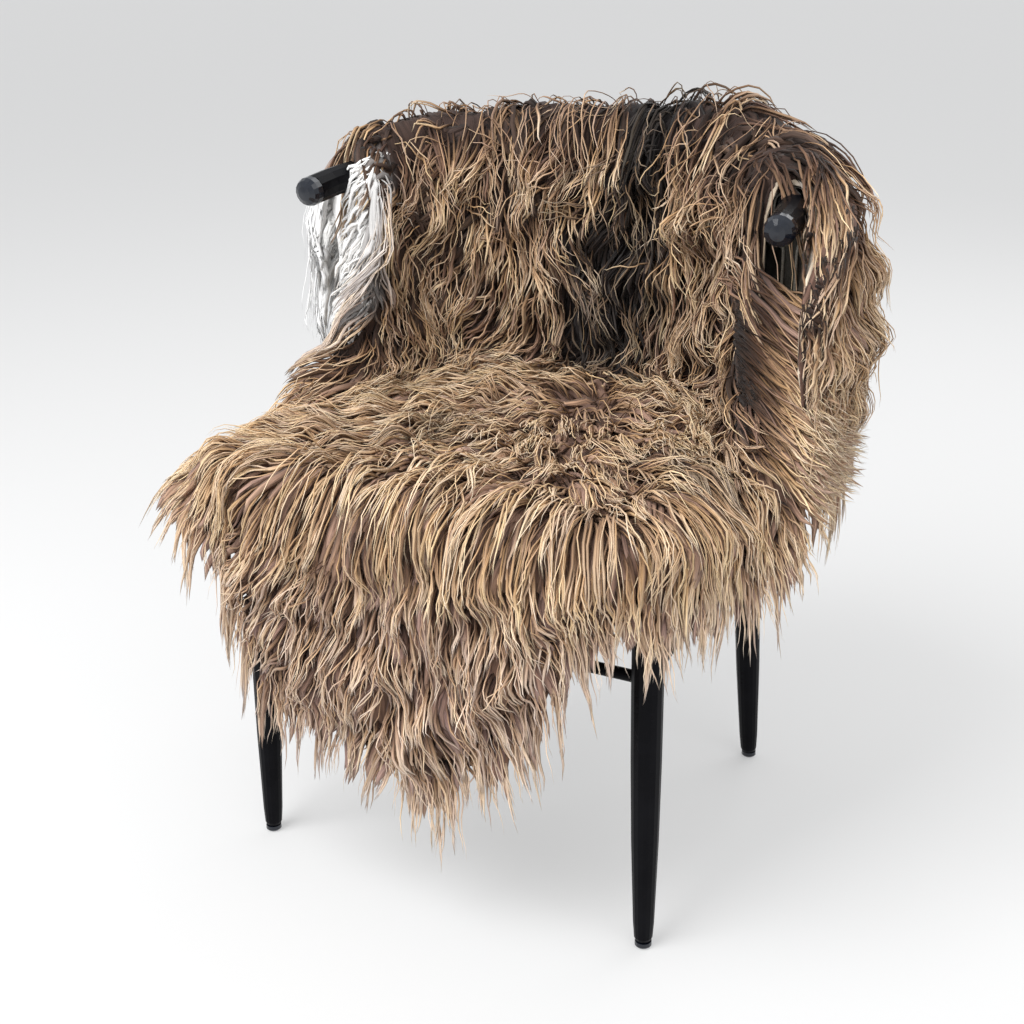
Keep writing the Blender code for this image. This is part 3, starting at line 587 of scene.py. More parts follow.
pattern, _, _ = ring_pattern(around=180, rings=34)
flat_lift = np.zeros(pattern.shape[:2])
underside = hide_layer(pattern, flat_lift)
topside = hide_layer(pattern, flat_lift + LEATHER_THICKNESS)
points, faces = shell_from_rings(underside, topside)
leather = add_piece("hide_leather", mesh_from_arrays("hide_leather", points, faces), suede_material())

# %% [markdown]
# Under the long locks a sheep has a dense undercoat. It is one lumpy surface about half as deep as the
# pile, and it keeps light from falling through to the leather. Lumps are sums of sine waves over the hide.

# %% The undercoat
LUMPS = ((11, 8, 0, 0.15), (17, -12, 50, 0.13), (7, 17, 110, 0.10))  # around, along, turn, share
RIM_PILE_SHARE, RIM_TAPER = 0.34, 0.055
UNDERCOAT_SHARE = 0.50
WHITE_TOP = 0.752  # height where the white part begins


def white_part(pattern):
    """1 where the wool is white: at the left end of the back, below the crest, on both layers."""
    place = pattern_point(pattern) - (MIDDLE_X, MIDDLE_Y, 0.0)
    x, y, z = place[..., 0], place[..., 1], place[..., 2]
    limit = -0.233 - 0.09 * np.clip(0.73 - z, 0, 0.14) - 0.2 * np.clip(0.59 - z, 0, 0.1)
    heights = smooth_step((WHITE_TOP - z) / 0.012) * smooth_step((z - 0.50) / 0.05)
    return smooth_step((limit - x) / 0.022) * heights * smooth_step((y - 0.02) / 0.03)


def pile_depth(pattern):
    """Depth of the wool: the section's depth, made lumpy, and thinner towards the rim."""
    degrees = np.degrees(np.arctan2(pattern[..., 1], pattern[..., 0]))
    length = np.hypot(pattern[..., 0], pattern[..., 1])
    values = section_values(degrees)
    whole = section_length(degrees)
    lumps = sum(s * np.sin(np.radians(a * degrees + 360 * n * length + t)) for a, n, t, s in LUMPS)
    taper = RIM_PILE_SHARE + (1 - RIM_PILE_SHARE) * smooth_step((whole - length) / RIM_TAPER)
    white = white_part(pattern)
    taper = np.maximum(taper, 0.95 * white)
    crest = smooth_step(1.6 - np.abs(length - 0.54) / 0.06)
    right_shoulder = smooth_step(1.5 - np.abs(degrees - 52) / 24)
    left_shoulder = smooth_step(1.5 - np.abs(degrees - 146) / 12)
    fluff = 1 + crest * (0.45 * right_shoulder + 0.35 * left_shoulder) + 1.3 * white
    return values["pile"] * (1 + lumps * smooth_step(length / whole / 0.15)) * taper * fluff


def rim_gap(pattern):
    """How far these points of the flat pattern are inside the rim, measured along their own direction."""
    degrees = np.degrees(np.arctan2(pattern[..., 1], pattern[..., 0]))
    return section_length(degrees) - np.hypot(pattern[..., 0], pattern[..., 1])


def gap_slopes(pattern, small=0.004):
    """How fast the gap to the rim changes along the two axes of the flat skin."""
    step_a, step_b = np.array([small, 0.0]), np.array([0.0, small])
    slope_a = (rim_gap(pattern + step_a) - rim_gap(pattern - step_a)) / (2 * small)
    slope_b = (rim_gap(pattern + step_b) - rim_gap(pattern - step_b)) / (2 * small)
    return slope_a, slope_b


BLACK_SPOTS = ((0.070, 0.750, 0.034, 0.080), (0.030, 0.640, 0.062, 0.075), (0.010, 0.560, 0.050, 0.060))
GREY_SPOTS = ((0.205, -0.020, 0.050, 0.050), (-0.060, -0.020, 0.030, 0.060))


def spot(first, second, middle_first, middle_second, half_first, half_second):
    """1 inside an oval, easing to 0 outside it."""
    reach = np.hypot((first - middle_first) / half_first, (second - middle_second) / half_second)
    return smooth_step(1.6 - reach)


def coat_tones(pattern, random_light, painted_root_shade=0.0):
    """How light, how black and how white the wool is; on the inner back its black also holds painted shade."""
    place = pattern_point(pattern)
    x, y, z = (place[..., k] - (MIDDLE_X, MIDDLE_Y, 0.0)[k] for k in range(3))
    degrees = np.mod(np.degrees(np.arctan2(pattern[..., 1], pattern[..., 0])), 360)
    length = np.hypot(pattern[..., 0], pattern[..., 1])
    on_back = smooth_step((z - SEAT_TOP - 0.02) / 0.08)
    behind = smooth_step((length - 0.60) / 0.06) * on_back
    inner = on_back * (1 - behind)
    black = np.maximum.reduce([spot(x, z, *place) for place in BLACK_SPOTS]) * inner
    grey = np.maximum.reduce([spot(x, y, *place) for place in GREY_SPOTS]) * (1 - on_back)
    white = white_part(pattern)
    cloud = 0.5 + 0.5 * np.sin(21 * x + 3 * z) * np.sin(17 * y - 9 * z + 1.3)
    light = 0.67 - 0.30 * on_back + 0.34 * (cloud - 0.5)
    light = np.clip(light + random_light * (1 + 1.2 * inner), 0, 1)
    # Painted shade: the last term blackens the wool on the inner back, standing for the shadow deep among the locks.
    black = np.clip(np.maximum(black, 0.5 * grey) + painted_root_shade * inner, 0, 1)
    return np.stack([light, black, np.clip(white, 0, 1)], axis=-1)


pattern, degrees, from_rim = ring_pattern(around=288, rings=46)
to_rim = rim_gap(pattern) / np.maximum(np.hypot(*gap_slopes(pattern)), 1.0)
depth = pile_depth(pattern) * (0.2 + 0.8 * smooth_step(to_rim / 0.040))
ripple = 1 + 0.12 * np.sin(150 * pattern[..., 0] + 40 * pattern[..., 1]) * np.sin(130 * pattern[..., 1])
lower = hide_layer(pattern, np.full(depth.shape, LEATHER_THICKNESS * 0.6))
upper = hide_layer(pattern, LEATHER_THICKNESS + depth * UNDERCOAT_SHARE * ripple)
points, faces = shell_from_rings(lower, upper)
# Painted shade: the undercoat is darkened and, on the inner back, blackened for the shadow under the locks.
tones = coat_tones(pattern, -0.1, 0.75).reshape(-1, 3)
across = np.radians(degrees) * 18.0
strand = np.stack([across, np.full(depth.shape, 0.42), 0.5 + pattern[..., 1] * 0.4], axis=-1).reshape(-1, 3)
middle_tones, middle_strand = tones[:1].repeat(2, axis=0), strand[:1].repeat(2, axis=0)
attributes = {
    "coat": np.concatenate([tones, tones, middle_tones]),
    "strand": np.concatenate([strand, strand, middle_strand]),
}
undercoat = add_piece(
    "undercoat", mesh_from_arrays("undercoat", points, faces, attributes), wool_deep
)
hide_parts("sheepskin")

# %% [markdown]
# Wool has a flow. On the seat it spreads from the crease at the back towards the front and sides, and where
# the hide is steep it hangs. Each lock starts at a root, rises to its own height, and then walks over the
# hide along that flow. The walk is done for all locks together, one step at a time. A lock also leans
# towards the path of its cluster's leader, which gathers locks into pointed tufts, and it is wavy.

# %% Where locks grow and how they walk
FLOW_SOURCE = np.array([0.02, 0.11])
ROOT_SHARE = 0.40  # of the pile, where locks leave the undercoat
RIM_PUSH, RIM_REACH = 1.1, 0.06
SWIRLS = ((23.0, 11.0, 0.3, 0.32), (9.0, 31.0, 1.9, 0.26), (41.0, 37.0, 4.0, 0.16))


def wool_density(pattern):
    """More locks near the rim, where the outline needs them, on the front right corner and on the white part."""
    degrees = np.mod(np.degrees(np.arctan2(pattern[..., 1], pattern[..., 0])), 360)
    length = np.hypot(pattern[..., 0], pattern[..., 1])
    near_rim = smooth_step(1 - (section_length(degrees) - length) / 0.05)
    corner = spot(degrees, length, 315.0, 0.27, 22.0, 0.08)
    crest = spot(degrees, length, 90.0, 0.55, 60.0, 0.035)
    return 1 + 1.1 * near_rim + 0.6 * corner + 0.9 * crest + 1.2 * white_part(pattern)


def scatter(count, random):
    """Roots spread evenly over the draped hide: even in the flat pattern, then thinned by how it shrinks."""
    tries = count * 36
    degrees = random.uniform(0, 360, tries)
    whole = section_length(degrees)
    length = lengths.max() * np.sqrt(random.uniform(0, 1, tries))
    keep = length < whole - 0.002
    angle = np.radians(degrees[keep])
    pattern = length[keep, None] * np.stack([np.cos(angle), np.sin(angle)], axis=1)
    weight = pattern_frame(pattern)[3] * wool_density(pattern)
    chosen = random.choice(len(pattern), count, replace=False, p=weight / weight.sum())
    return pattern[chosen]


def rim_outward(pattern, along_a, along_b):
    """The way across the nearest rim, times an ease that grows from 0 to 1 as the rim comes near."""
    slope_a, slope_b = gap_slopes(pattern)
    steep = np.hypot(slope_a, slope_b)
    out = -(along_a * slope_a[:, None] + along_b * slope_b[:, None])
    out = out / (np.linalg.norm(out, axis=-1, keepdims=True) + 1e-6)
    near = smooth_step(1 - rim_gap(pattern) / np.maximum(steep, 0.5) / RIM_REACH)
    degrees = np.mod(np.degrees(np.arctan2(pattern[..., 1], pattern[..., 0])), 360)
    fallen = smooth_step((np.hypot(pattern[..., 0], pattern[..., 1]) - 0.58) / 0.03)
    flap = fallen * smooth_step((degrees - 15) / 3) * smooth_step((60 - degrees) / 10)
    return out * (near * (1 - flap))[:, None]


def flow_direction(place, normal, turn, outward):
    """The way wool lies: spread from the source on level parts, gravity on steep ones, turned by swirls."""
    away = place[..., :2] - (MIDDLE_X, MIDDLE_Y) - FLOW_SOURCE
    level = away / (np.linalg.norm(away, axis=-1, keepdims=True) + 0.02)
    high = smooth_step((place[..., 2:] - SEAT_TOP - 0.04) / 0.08)
    spread = np.concatenate([level * (1 - 1.12 * high), np.zeros_like(high)], axis=-1)
    spread[..., 0] += 0.45 * high[..., 0] * np.sign(away[..., 0]) * np.minimum(np.abs(away[..., 0]) / 0.1, 1)
    wanted = spread + np.array([0.0, 0.0, -1.25]) + RIM_PUSH * outward
    wanted = wanted - (wanted * normal).sum(-1, keepdims=True) * normal
    wanted = wanted / (np.linalg.norm(wanted, axis=-1, keepdims=True) + 1e-6)
    x, y = place[..., 0], place[..., 1] + place[..., 2]
    swirl = sum(size * np.sin(p * x + q * y + shift) for p, q, shift, size in SWIRLS)
    calm = 1 - 0.6 * smooth_step((SEAT_TOP - place[..., 2] + 0.02) / 0.04)
    angle = ((swirl + turn) * calm)[..., None]
    return wanted * np.cos(angle) + np.cross(normal, wanted) * np.sin(angle)


def walk(roots, lengths, heights, turn, steps):
    """Paths of locks: (locks, steps + 1, 3) points, and the hide's normal at each."""
    pattern = roots.copy()
    whole_at_root = pile_depth(roots)
    path, sides = [], []
    beyond = np.zeros(len(roots))
    for k in range(steps + 1):
        t = k / steps
        along_a, along_b, normal, _ = pattern_frame(pattern)
        place = pattern_point(pattern)
        rise = 1 - (1 - t) ** 2.6
        whole = np.maximum(pile_depth(pattern), 0.5 * whole_at_root)
        lift = LEATHER_THICKNESS + whole * (ROOT_SHARE + (heights - ROOT_SHARE) * rise)
        droop = np.minimum(0.5 * beyond**2 / 0.05, 0.9 * beyond)
        point = place + normal * lift[:, None]
        point[:, 2] -= droop
        if path:
            jump = point - path[-1]
            most = 1.5 * lengths / steps + 0.003
            share = np.minimum(1.0, most / (np.linalg.norm(jump, axis=-1) + 1e-9))
            point = path[-1] + jump * share[:, None]
        path.append(point)
        sides.append(normal)
        outward = rim_outward(pattern, along_a, along_b)
        move = flow_direction(place, normal, turn, outward) * (lengths / steps * (0.55 + 0.45 * t))[:, None]
        aa, bb = (along_a**2).sum(-1), (along_b**2).sum(-1)
        ab = (along_a * along_b).sum(-1)
        ma, mb = (move * along_a).sum(-1), (move * along_b).sum(-1)
        scale = np.maximum(aa * bb - ab**2, 0.02)
        change = np.stack([(ma * bb - mb * ab) / scale, (mb * aa - ma * ab) / scale], axis=-1)
        size = np.linalg.norm(change, axis=-1, keepdims=True)
        change *= np.minimum(1.0, 0.035 / np.maximum(size, 1e-9))
        pattern = pattern + change
        degrees = np.degrees(np.arctan2(pattern[:, 1], pattern[:, 0]))
        beyond = np.clip(np.hypot(pattern[:, 0], pattern[:, 1]) - section_length(degrees), 0, None)
    return np.stack(path, axis=1), np.stack(sides, axis=1)


def gather(paths, leaders, leader_paths, amount):
    """Draws each path towards its leader's, little at the root and by the amount at the tip."""
    t = np.linspace(0, 1, paths.shape[1])[None, :, None]
    pull = amount[:, None, None] * smooth_step(t * 1.05)
    return paths * (1 - pull) + leader_paths[leaders] * pull


def wave(paths, sides, size, waves, start):
    """Adds a flattened coil to each path: a sine across it and a smaller cosine off the hide."""
    t = np.linspace(0, 1, paths.shape[1])[None, :]
    along = np.gradient(paths, axis=1)
    along = along / (np.linalg.norm(along, axis=-1, keepdims=True) + 1e-9)
    across = np.cross(along, sides)
    turn = 2 * np.pi * (waves[:, None] * t + start[:, None])
    swing = (size[:, None] * t**0.6 * np.sin(turn))[..., None]
    lift = (size[:, None] * 0.4 * t**0.6 * np.cos(turn))[..., None]
    return paths + across * swing + sides * lift


# %% [markdown]
# A lock's mesh is its profile, a low triangle that is wide on the hide's side, carried along the path and
# narrowed to a point. All locks of a piece share one mesh, so the corners of every lock are worked out in
# one array with the shape (locks, points along, corners).


# %% From paths to meshes
def lock_mesh(name, paths, sides, widths, coat, random, plump=0.42):
    """Closed three-sided locks along paths: width times (root swell, long taper), tip drawn to one point."""
    locks, steps = paths.shape[:2]
    t = np.linspace(0, 1, steps)[:-1]
    taper = (0.55 + 1.4 * t - 0.4 * t**2) * (1 - t**1.8) ** 0.8 + 0.04
    along = np.gradient(paths, axis=1)
    along = along / (np.linalg.norm(along, axis=-1, keepdims=True) + 1e-9)
    across = np.cross(along, sides)
    across = across / (np.linalg.norm(across, axis=-1, keepdims=True) + 1e-9)
    up = np.cross(across, along)
    twist = random.uniform(-0.9, 0.9, (locks, 1, 1)) + random.uniform(-1.2, 1.2, (locks, 1, 1)) * np.linspace(
        0, 1, steps
    )[None, :, None]
    across, up = across * np.cos(twist) + up * np.sin(twist), up * np.cos(twist) - across * np.sin(twist)
    half = (widths[:, None] * taper[None, :] / 2)[..., None]
    core, across, up = paths[:, :-1], across[:, :-1], up[:, :-1]
    left = core - across * half - up * half * plump
    right = core + across * half - up * half * plump
    ridge = core + up * half * 2 * plump
    rings = np.stack([left, right, ridge], axis=2)
    body = rings.reshape(locks, -1, 3)
    points = np.concatenate([body, paths[:, -1:]], axis=1)
    per = points.shape[1]
    base = np.arange(locks)[:, None, None] * per
    ring = 3 * np.arange(steps - 2)[:, None] + np.arange(3)[None, :]
    nxt = 3 * np.arange(steps - 2)[:, None] + (np.arange(3)[None, :] + 1) % 3
    quads = np.stack([ring, nxt, nxt + 3, ring + 3], axis=-1).reshape(1, -1, 4) + base
    last = 3 * (steps - 2)
    tip = np.array([[last, last + 1, per - 1], [last + 1, last + 2, per - 1], [last + 2, last, per - 1], [2, 1, 0]])
    tips = tip[None] + base
    spot = np.zeros((locks, per, 3))
    spot[:, :-1, 0] = np.tile([0.0, 1.0, 0.5], steps - 1)[None]
    spot[:, -1, 0] = 0.5
    spot[:, :-1, 1] = np.repeat(t, 3)[None]
    spot[:, -1, 1] = 1.0
    mauve = smooth_step((SEAT_TOP + 0.01 - paths[:, :1, 2]) / 0.05)
    spot[:, :, 2] = 0.6 * random.uniform(0, 1, (locks, 1)) + 0.4 * mauve
    tones = np.repeat(coat[:, None, :], per, axis=1)
    attributes = {"strand": spot.reshape(-1, 3), "coat": tones.reshape(-1, 3)}
    return mesh_from_arrays(name, points.reshape(-1, 3), [quads.reshape(-1, 4), tips.reshape(-1, 3)], attributes)


def nearest(points, centres, chunk=2000):
    """Index of the nearest centre for each point, worked out in blocks."""
    found = []
    for start in range(0, len(points), chunk):
        block = points[start : start + chunk]
        found.append(((block[:, None] - centres[None]) ** 2).sum(-1).argmin(1))
    return np.concatenate(found)


def on_skin(pattern):
    """Where a root is, both in space and on the flat skin, so that layers that face each other stay apart."""
    return np.concatenate([pattern_point(pattern), 0.6 * pattern], axis=-1)


def grow(count, leader_count, length, height, width, waves, size, steps, pull, spread, seed, painted_root_shade=0.0):
    """All of one kind of lock: roots, walks, tufts and waves. Pairs of numbers are low and high limits."""
    random = np.random.default_rng(seed)
    leaders = scatter(leader_count, random)
    roots = scatter(count, random)
    own = nearest(on_skin(roots), on_skin(leaders))
    lengths = random.uniform(*length, leader_count)
    turn = random.normal(0, spread, leader_count)
    leader_height = random.uniform(*height, leader_count)
    leader_paths, _ = walk(leaders, lengths, leader_height, turn, steps)
    own_length = lengths[own] * random.uniform(0.82, 1.12, count)
    toward = np.mod(np.degrees(np.arctan2(roots[:, 1], roots[:, 0])), 360)
    beyond_rim = random.uniform(0.010, 0.028, count) * (1 - 0.8 * spot(toward, 0.0, 322.0, 0.0, 24.0, 1.0))
    from_middle = np.hypot(roots[:, 0], roots[:, 1])
    beside_rim = np.maximum(spot(toward, 0.0, 20.0, 0.0, 17.0, 1.0), spot(toward, 0.0, 164.0, 0.0, 9.0, 1.0))
    beside_rim = beside_rim * smooth_step((from_middle - 0.30) / 0.05)
    own_length = np.minimum(own_length, 0.9 * rim_gap(roots) + beyond_rim + 0.08 * beside_rim)
    x, z = pattern_point(roots)[:, 0] - MIDDLE_X, pattern_point(roots)[:, 2]
    over_white = (x < -0.215) & (z > WHITE_TOP - 0.006)
    own_length = np.where(over_white, np.minimum(own_length, np.abs(z - WHITE_TOP) + 0.016), own_length)
    near_crest = smooth_step(1.6 - np.abs(np.hypot(roots[:, 0], roots[:, 1]) - 0.54) / 0.05)
    tangle = 1 + 1.6 * near_crest * smooth_step((roots[:, 1] - 0.05) / 0.05)
    own_height = leader_height[own] * random.uniform(0.7, 1.0, count)
    paths, sides = walk(roots, own_length, own_height, turn[own] * tangle + random.normal(0, 0.12, count), steps)
    paths = gather(paths, own, leader_paths, random.uniform(*pull, count))
    waves_own = random.uniform(*waves, leader_count)[own] * random.uniform(0.9, 1.1, count)
    start = random.uniform(0, 1, leader_count)[own] + random.normal(0, 0.10, count)
    paths = wave(paths, sides, random.uniform(*size, count), waves_own, start)
    light = random.normal(0, 0.16, leader_count)[own] + random.normal(0, 0.12, count)
    return roots, paths, sides, random.uniform(*width, count), coat_tones(roots, light, painted_root_shade), random


# %% [markdown]
# Three kinds of lock lie over each other, as in a real fleece: broad dark ones near the skin, blackened on
# the back with painted shade, long wavy ones on top, and single pale hairs that catch the light. The long
# ones are split by place, so that each piece stays light enough to edit.

# %% Grow the deep locks
MILLIMETRE = 0.001
WOOL_PIECES = []
roots, paths, sides, widths, coat, random = grow(
    count=4200,
    leader_count=900,
    length=(0.070, 0.095),
    height=(0.50, 0.80),
    width=(9 * MILLIMETRE, 15 * MILLIMETRE),
    waves=(0.8, 1.5),
    size=(1.5 * MILLIMETRE, 3 * MILLIMETRE),
    steps=6,
    pull=(0.2, 0.6),
    spread=0.30,
    seed=3,
    # painted shade: blackens the deep locks on the inner back
    painted_root_shade=0.80,
)
deep = add_piece("wool_deep", lock_mesh("wool_deep", paths, sides, widths, coat, random, 0.26), wool_deep)
WOOL_PIECES.append(deep)

# %% Grow the long locks
roots, paths, sides, widths, coat, random = grow(
    count=6700,
    leader_count=1700,
    length=(0.075, 0.110),
    height=(0.70, 1.10),
    width=(2.6 * MILLIMETRE, 5.2 * MILLIMETRE),
    # painted shade: a little blackening of the long locks on the inner back
    painted_root_shade=0.12,
    waves=(1.6, 2.6),
    size=(1.0 * MILLIMETRE, 2.6 * MILLIMETRE),
    steps=9,
    pull=(0.45, 0.9),
    spread=0.30,
    seed=5,
)


def add_regions(prefix, roots, paths, sides, widths, coat, random, finish):
    """One piece for each of four regions of the hide, so that no piece grows too heavy."""
    direction = np.mod(np.degrees(np.arctan2(roots[:, 1], roots[:, 0])), 360)
    length = np.hypot(roots[:, 0], roots[:, 1])
    back_half = (direction > 10) & (direction < 172)
    regions = {
        "front": ~back_half & (length > 0.22),
        "seat": (~back_half & (length <= 0.22)) | (back_half & (length <= 0.26)),
        "back": back_half & (length > 0.26) & (length <= 0.54),
        "behind": back_half & (length > 0.54),
    }
    made = {}
    for region, here in regions.items():
        name = prefix + region
        mesh = lock_mesh(name, paths[here], sides[here], widths[here], coat[here], random, 0.34)
        made[region] = add_piece(name, mesh, finish)
    return made


long_wool = add_regions("wool_", roots, paths, sides, widths, coat, random, wool_long)
WOOL_PIECES += long_wool.values()

# %% Grow the fine hairs
roots, paths, sides, widths, coat, random = grow(
    count=4200,
    leader_count=2100,
    length=(0.080, 0.130),
    height=(0.95, 1.35),
    width=(1.4 * MILLIMETRE, 2.4 * MILLIMETRE),
    waves=(2.0, 3.2),
    size=(1.4 * MILLIMETRE, 3.2 * MILLIMETRE),
    steps=10,
    pull=(0.2, 0.7),
    spread=0.42,
    seed=9,
)
coat[:, 0] = np.clip(coat[:, 0] + 0.32, 0, 1)
coat[:, 1] *= 0.7
fine_wool = add_regions("hairs_", roots, paths, sides, widths, coat, random, wool_fine)
WOOL_PIECES += fine_wool.values()

# %% [markdown]
# Below the right end of the rail the wool of the climbing part meets the wool of the part that has fallen
# behind the arm. Locks rooted at the edge of the one sweep over to the other. Each path is a curve with one
# control point, B(t) = (1-t)^2 S + 2t(1-t) C + t^2 E, from the inner edge S to the fallen part E.

# %% Wool between the two layers
BRIDGE_FROM, BRIDGE_TO = (3.0, 14.5), (24.0, 36.0)  # directions of the starts and of the ends


def curved(start, middle, end, steps, sway, random):
    """Wavy paths on the curve with one control point, as one array (locks, steps + 1, 3)."""
    t = np.linspace(0, 1, steps + 1)[None, :, None]
    paths = (1 - t) ** 2 * start[:, None] + 2 * t * (1 - t) * middle[:, None] + t**2 * end[:, None]
    sides = np.broadcast_to(TOWARDS_FRONT, paths.shape).copy()
    count = len(start)
    size, waves = random.uniform(*sway, count), random.uniform(1.5, 2.6, count)
    return wave(paths, sides, size, waves, random.uniform(0, 1, count)), sides


def roots_at_edge(count, directions, distances, inside, random):
    """Roots less than some degrees inside an edge of the skin, where the rim runs towards its middle."""
    degrees = random.uniform(*directions, 60 * count)
    length = random.uniform(*distances, 60 * count)
    keep = (length < section_length(degrees) - 0.003) & (length > section_length(degrees + inside))
    degrees, length = degrees[keep][:count], length[keep][:count]
    angle = np.radians(degrees)
    return length[:, None] * np.stack([np.cos(angle), np.sin(angle)], axis=1)
TOWARDS_FRONT = np.array([0.42, -0.84, 0.34])


def bridge(count, steps, width, bulge, seed):
    """Locks from the edge of the climbing part to the fallen part, in the order that lock_mesh takes."""
    random = np.random.default_rng(seed)
    degrees = random.uniform(*BRIDGE_FROM, count)
    length = section_length(degrees) - random.uniform(0.004, 0.060, count)
    angle = np.radians(degrees)
    roots = length[:, None] * np.stack([np.cos(angle), np.sin(angle)], axis=1)
    start = pattern_point(roots) + pattern_frame(roots)[2] * random.uniform(0.006, 0.026, (count, 1))
    degrees = random.uniform(*BRIDGE_TO, count)
    height = start[:, 2] - random.uniform(0.020, 0.075, count)
    length = 1.391 - height
    angle = np.radians(degrees)
    ends = length[:, None] * np.stack([np.cos(angle), np.sin(angle)], axis=1)
    end = pattern_point(ends) + pattern_frame(ends)[2] * random.uniform(0.018, 0.045, (count, 1))
    middle = (start + end) / 2 + TOWARDS_FRONT * random.uniform(*bulge, (count, 1))
    middle[:, 2] -= random.uniform(0.0, 0.03, count)
    paths, sides = curved(start, middle, end, steps, (0.002, 0.005), random)
    light = random.normal(0.20, 0.26, count)
    return paths, sides, random.uniform(*width, count), coat_tones(roots, light, 0.0), random


for name, finish, count, steps, width, bulge, seed in (
    ("bridge_deep", wool_deep, 260, 6, (0.008, 0.013), (-0.010, 0.014), 21),
    ("bridge_long", wool_long, 900, 9, (0.0020, 0.0042), (0.006, 0.048), 22),
    ("bridge_hairs", wool_fine, 340, 10, (0.0014, 0.0024), (0.025, 0.060), 23),
):
    WOOL_PIECES.append(add_piece(name, lock_mesh(name, *bridge(count, steps, width, bulge, seed)), finish))

# %% [markdown]
# Two edges show their whole depth of wool: the front edge of the fallen part, where locks hang down over the
# rim, and the left end of the back, where a white roll of wool fills the gap between the two layers.

# %% Wool on two edges
LEFTWARDS = np.array([-0.88, -0.48, 0.0])
EDGE_DIRECTIONS = np.linspace(20.5, 30.5, 41)


def edge_direction(length):
    """The direction in which the rim beside the notch is this far from the middle."""
    return np.interp(length, section_length(EDGE_DIRECTIONS), EDGE_DIRECTIONS)


def fallen_edge(count, steps, width, seed):
    """Locks down the front edge of the fallen part, from one root to a place further along the same edge."""
    random = np.random.default_rng(seed)
    roots = roots_at_edge(count, (20.5, 33.0), (0.60, 0.88), -5.0, random)
    column, length = (len(roots), 1), np.hypot(roots[:, 0], roots[:, 1])
    beside = np.degrees(np.arctan2(roots[:, 1], roots[:, 0])) - edge_direction(length)
    further = np.minimum(length + random.uniform(0.035, 0.070, len(roots)), 0.885)
    angle = np.radians(edge_direction(further) + beside * random.uniform(0.5, 1.0, len(roots)) + 0.3)
    ends = further[:, None] * np.stack([np.cos(angle), np.sin(angle)], axis=1)
    normal, normal_end = pattern_frame(roots)[2], pattern_frame(ends)[2]
    start = pattern_point(roots) + normal * pile_depth(roots)[:, None] * random.uniform(0.15, 0.75, column)
    end = pattern_point(ends) + normal_end * pile_depth(ends)[:, None] * random.uniform(0.20, 0.90, column)
    end[:, 1] -= random.uniform(0.000, 0.014, len(roots))
    end[:, 2] -= random.uniform(0.004, 0.024, len(roots))
    middle = (start + end) / 2 + (normal + normal_end) * random.uniform(0.003, 0.010, column)
    paths, sides = curved(start, middle, end, steps, (0.0015, 0.0035), random)
    coat = coat_tones(roots, random.normal(0.12, 0.22, len(roots)), 0.0)
    return paths, sides, random.uniform(*width, len(roots)), coat, random


def white_roll(count, steps, width, seed):
    """White locks from the left edge of the climbing part, out to the left and down."""
    random = np.random.default_rng(seed)
    roots = roots_at_edge(count, (153.0, 172.0), (0.375, 0.565), 6.0, random)
    normal, column = pattern_frame(roots)[2], (len(roots), 1)
    start = pattern_point(roots) + normal * random.uniform(0.002, 0.016, column)
    end = start + LEFTWARDS * random.uniform(0.004, 0.038, column)
    end[:, 2] -= random.uniform(0.020, 0.065, len(roots))
    middle = (start + end) / 2 + LEFTWARDS * random.uniform(0.004, 0.018, column)
    middle = middle + TOWARDS_FRONT * random.uniform(0.000, 0.022, column)
    paths, sides = curved(start, middle, end, steps, (0.001, 0.003), random)
    shade = np.stack([random.uniform(0.7, 1.0, len(roots)), np.zeros(len(roots))], axis=1)
    coat = np.concatenate([shade, np.clip(random.normal(0.97, 0.08, column), 0, 1)], axis=1)
    return paths, sides, random.uniform(*width, len(roots)), coat, random


for name, finish, grown in (
    ("fallen_edge_long", wool_long, fallen_edge(620, 9, (0.0024, 0.0048), 31)),
    ("fallen_edge_hairs", wool_fine, fallen_edge(180, 10, (0.0014, 0.0024), 32)),
    ("white_roll_long", wool_long, white_roll(780, 9, (0.0032, 0.0066), 33)),
    ("white_roll_hairs", wool_fine, white_roll(280, 10, (0.0014, 0.0024), 34)),
):
    WOOL_PIECES.append(add_piece(name, lock_mesh(name, *grown), finish))

# %% [markdown]
# The solids have rows of plain locks on strips round the rim. The grown wool takes their place.

for name in sorted(nodes):
    if name.startswith("rim_wool"):
        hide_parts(name)

# %% [markdown]
# The chair is plain: black satin paint on its legs and rail, a smooth cap on each end of the rail, dark
# olive leather round the back, and black leather on the seat. Paint is never perfectly even, so its colour
# and roughness drift a little.


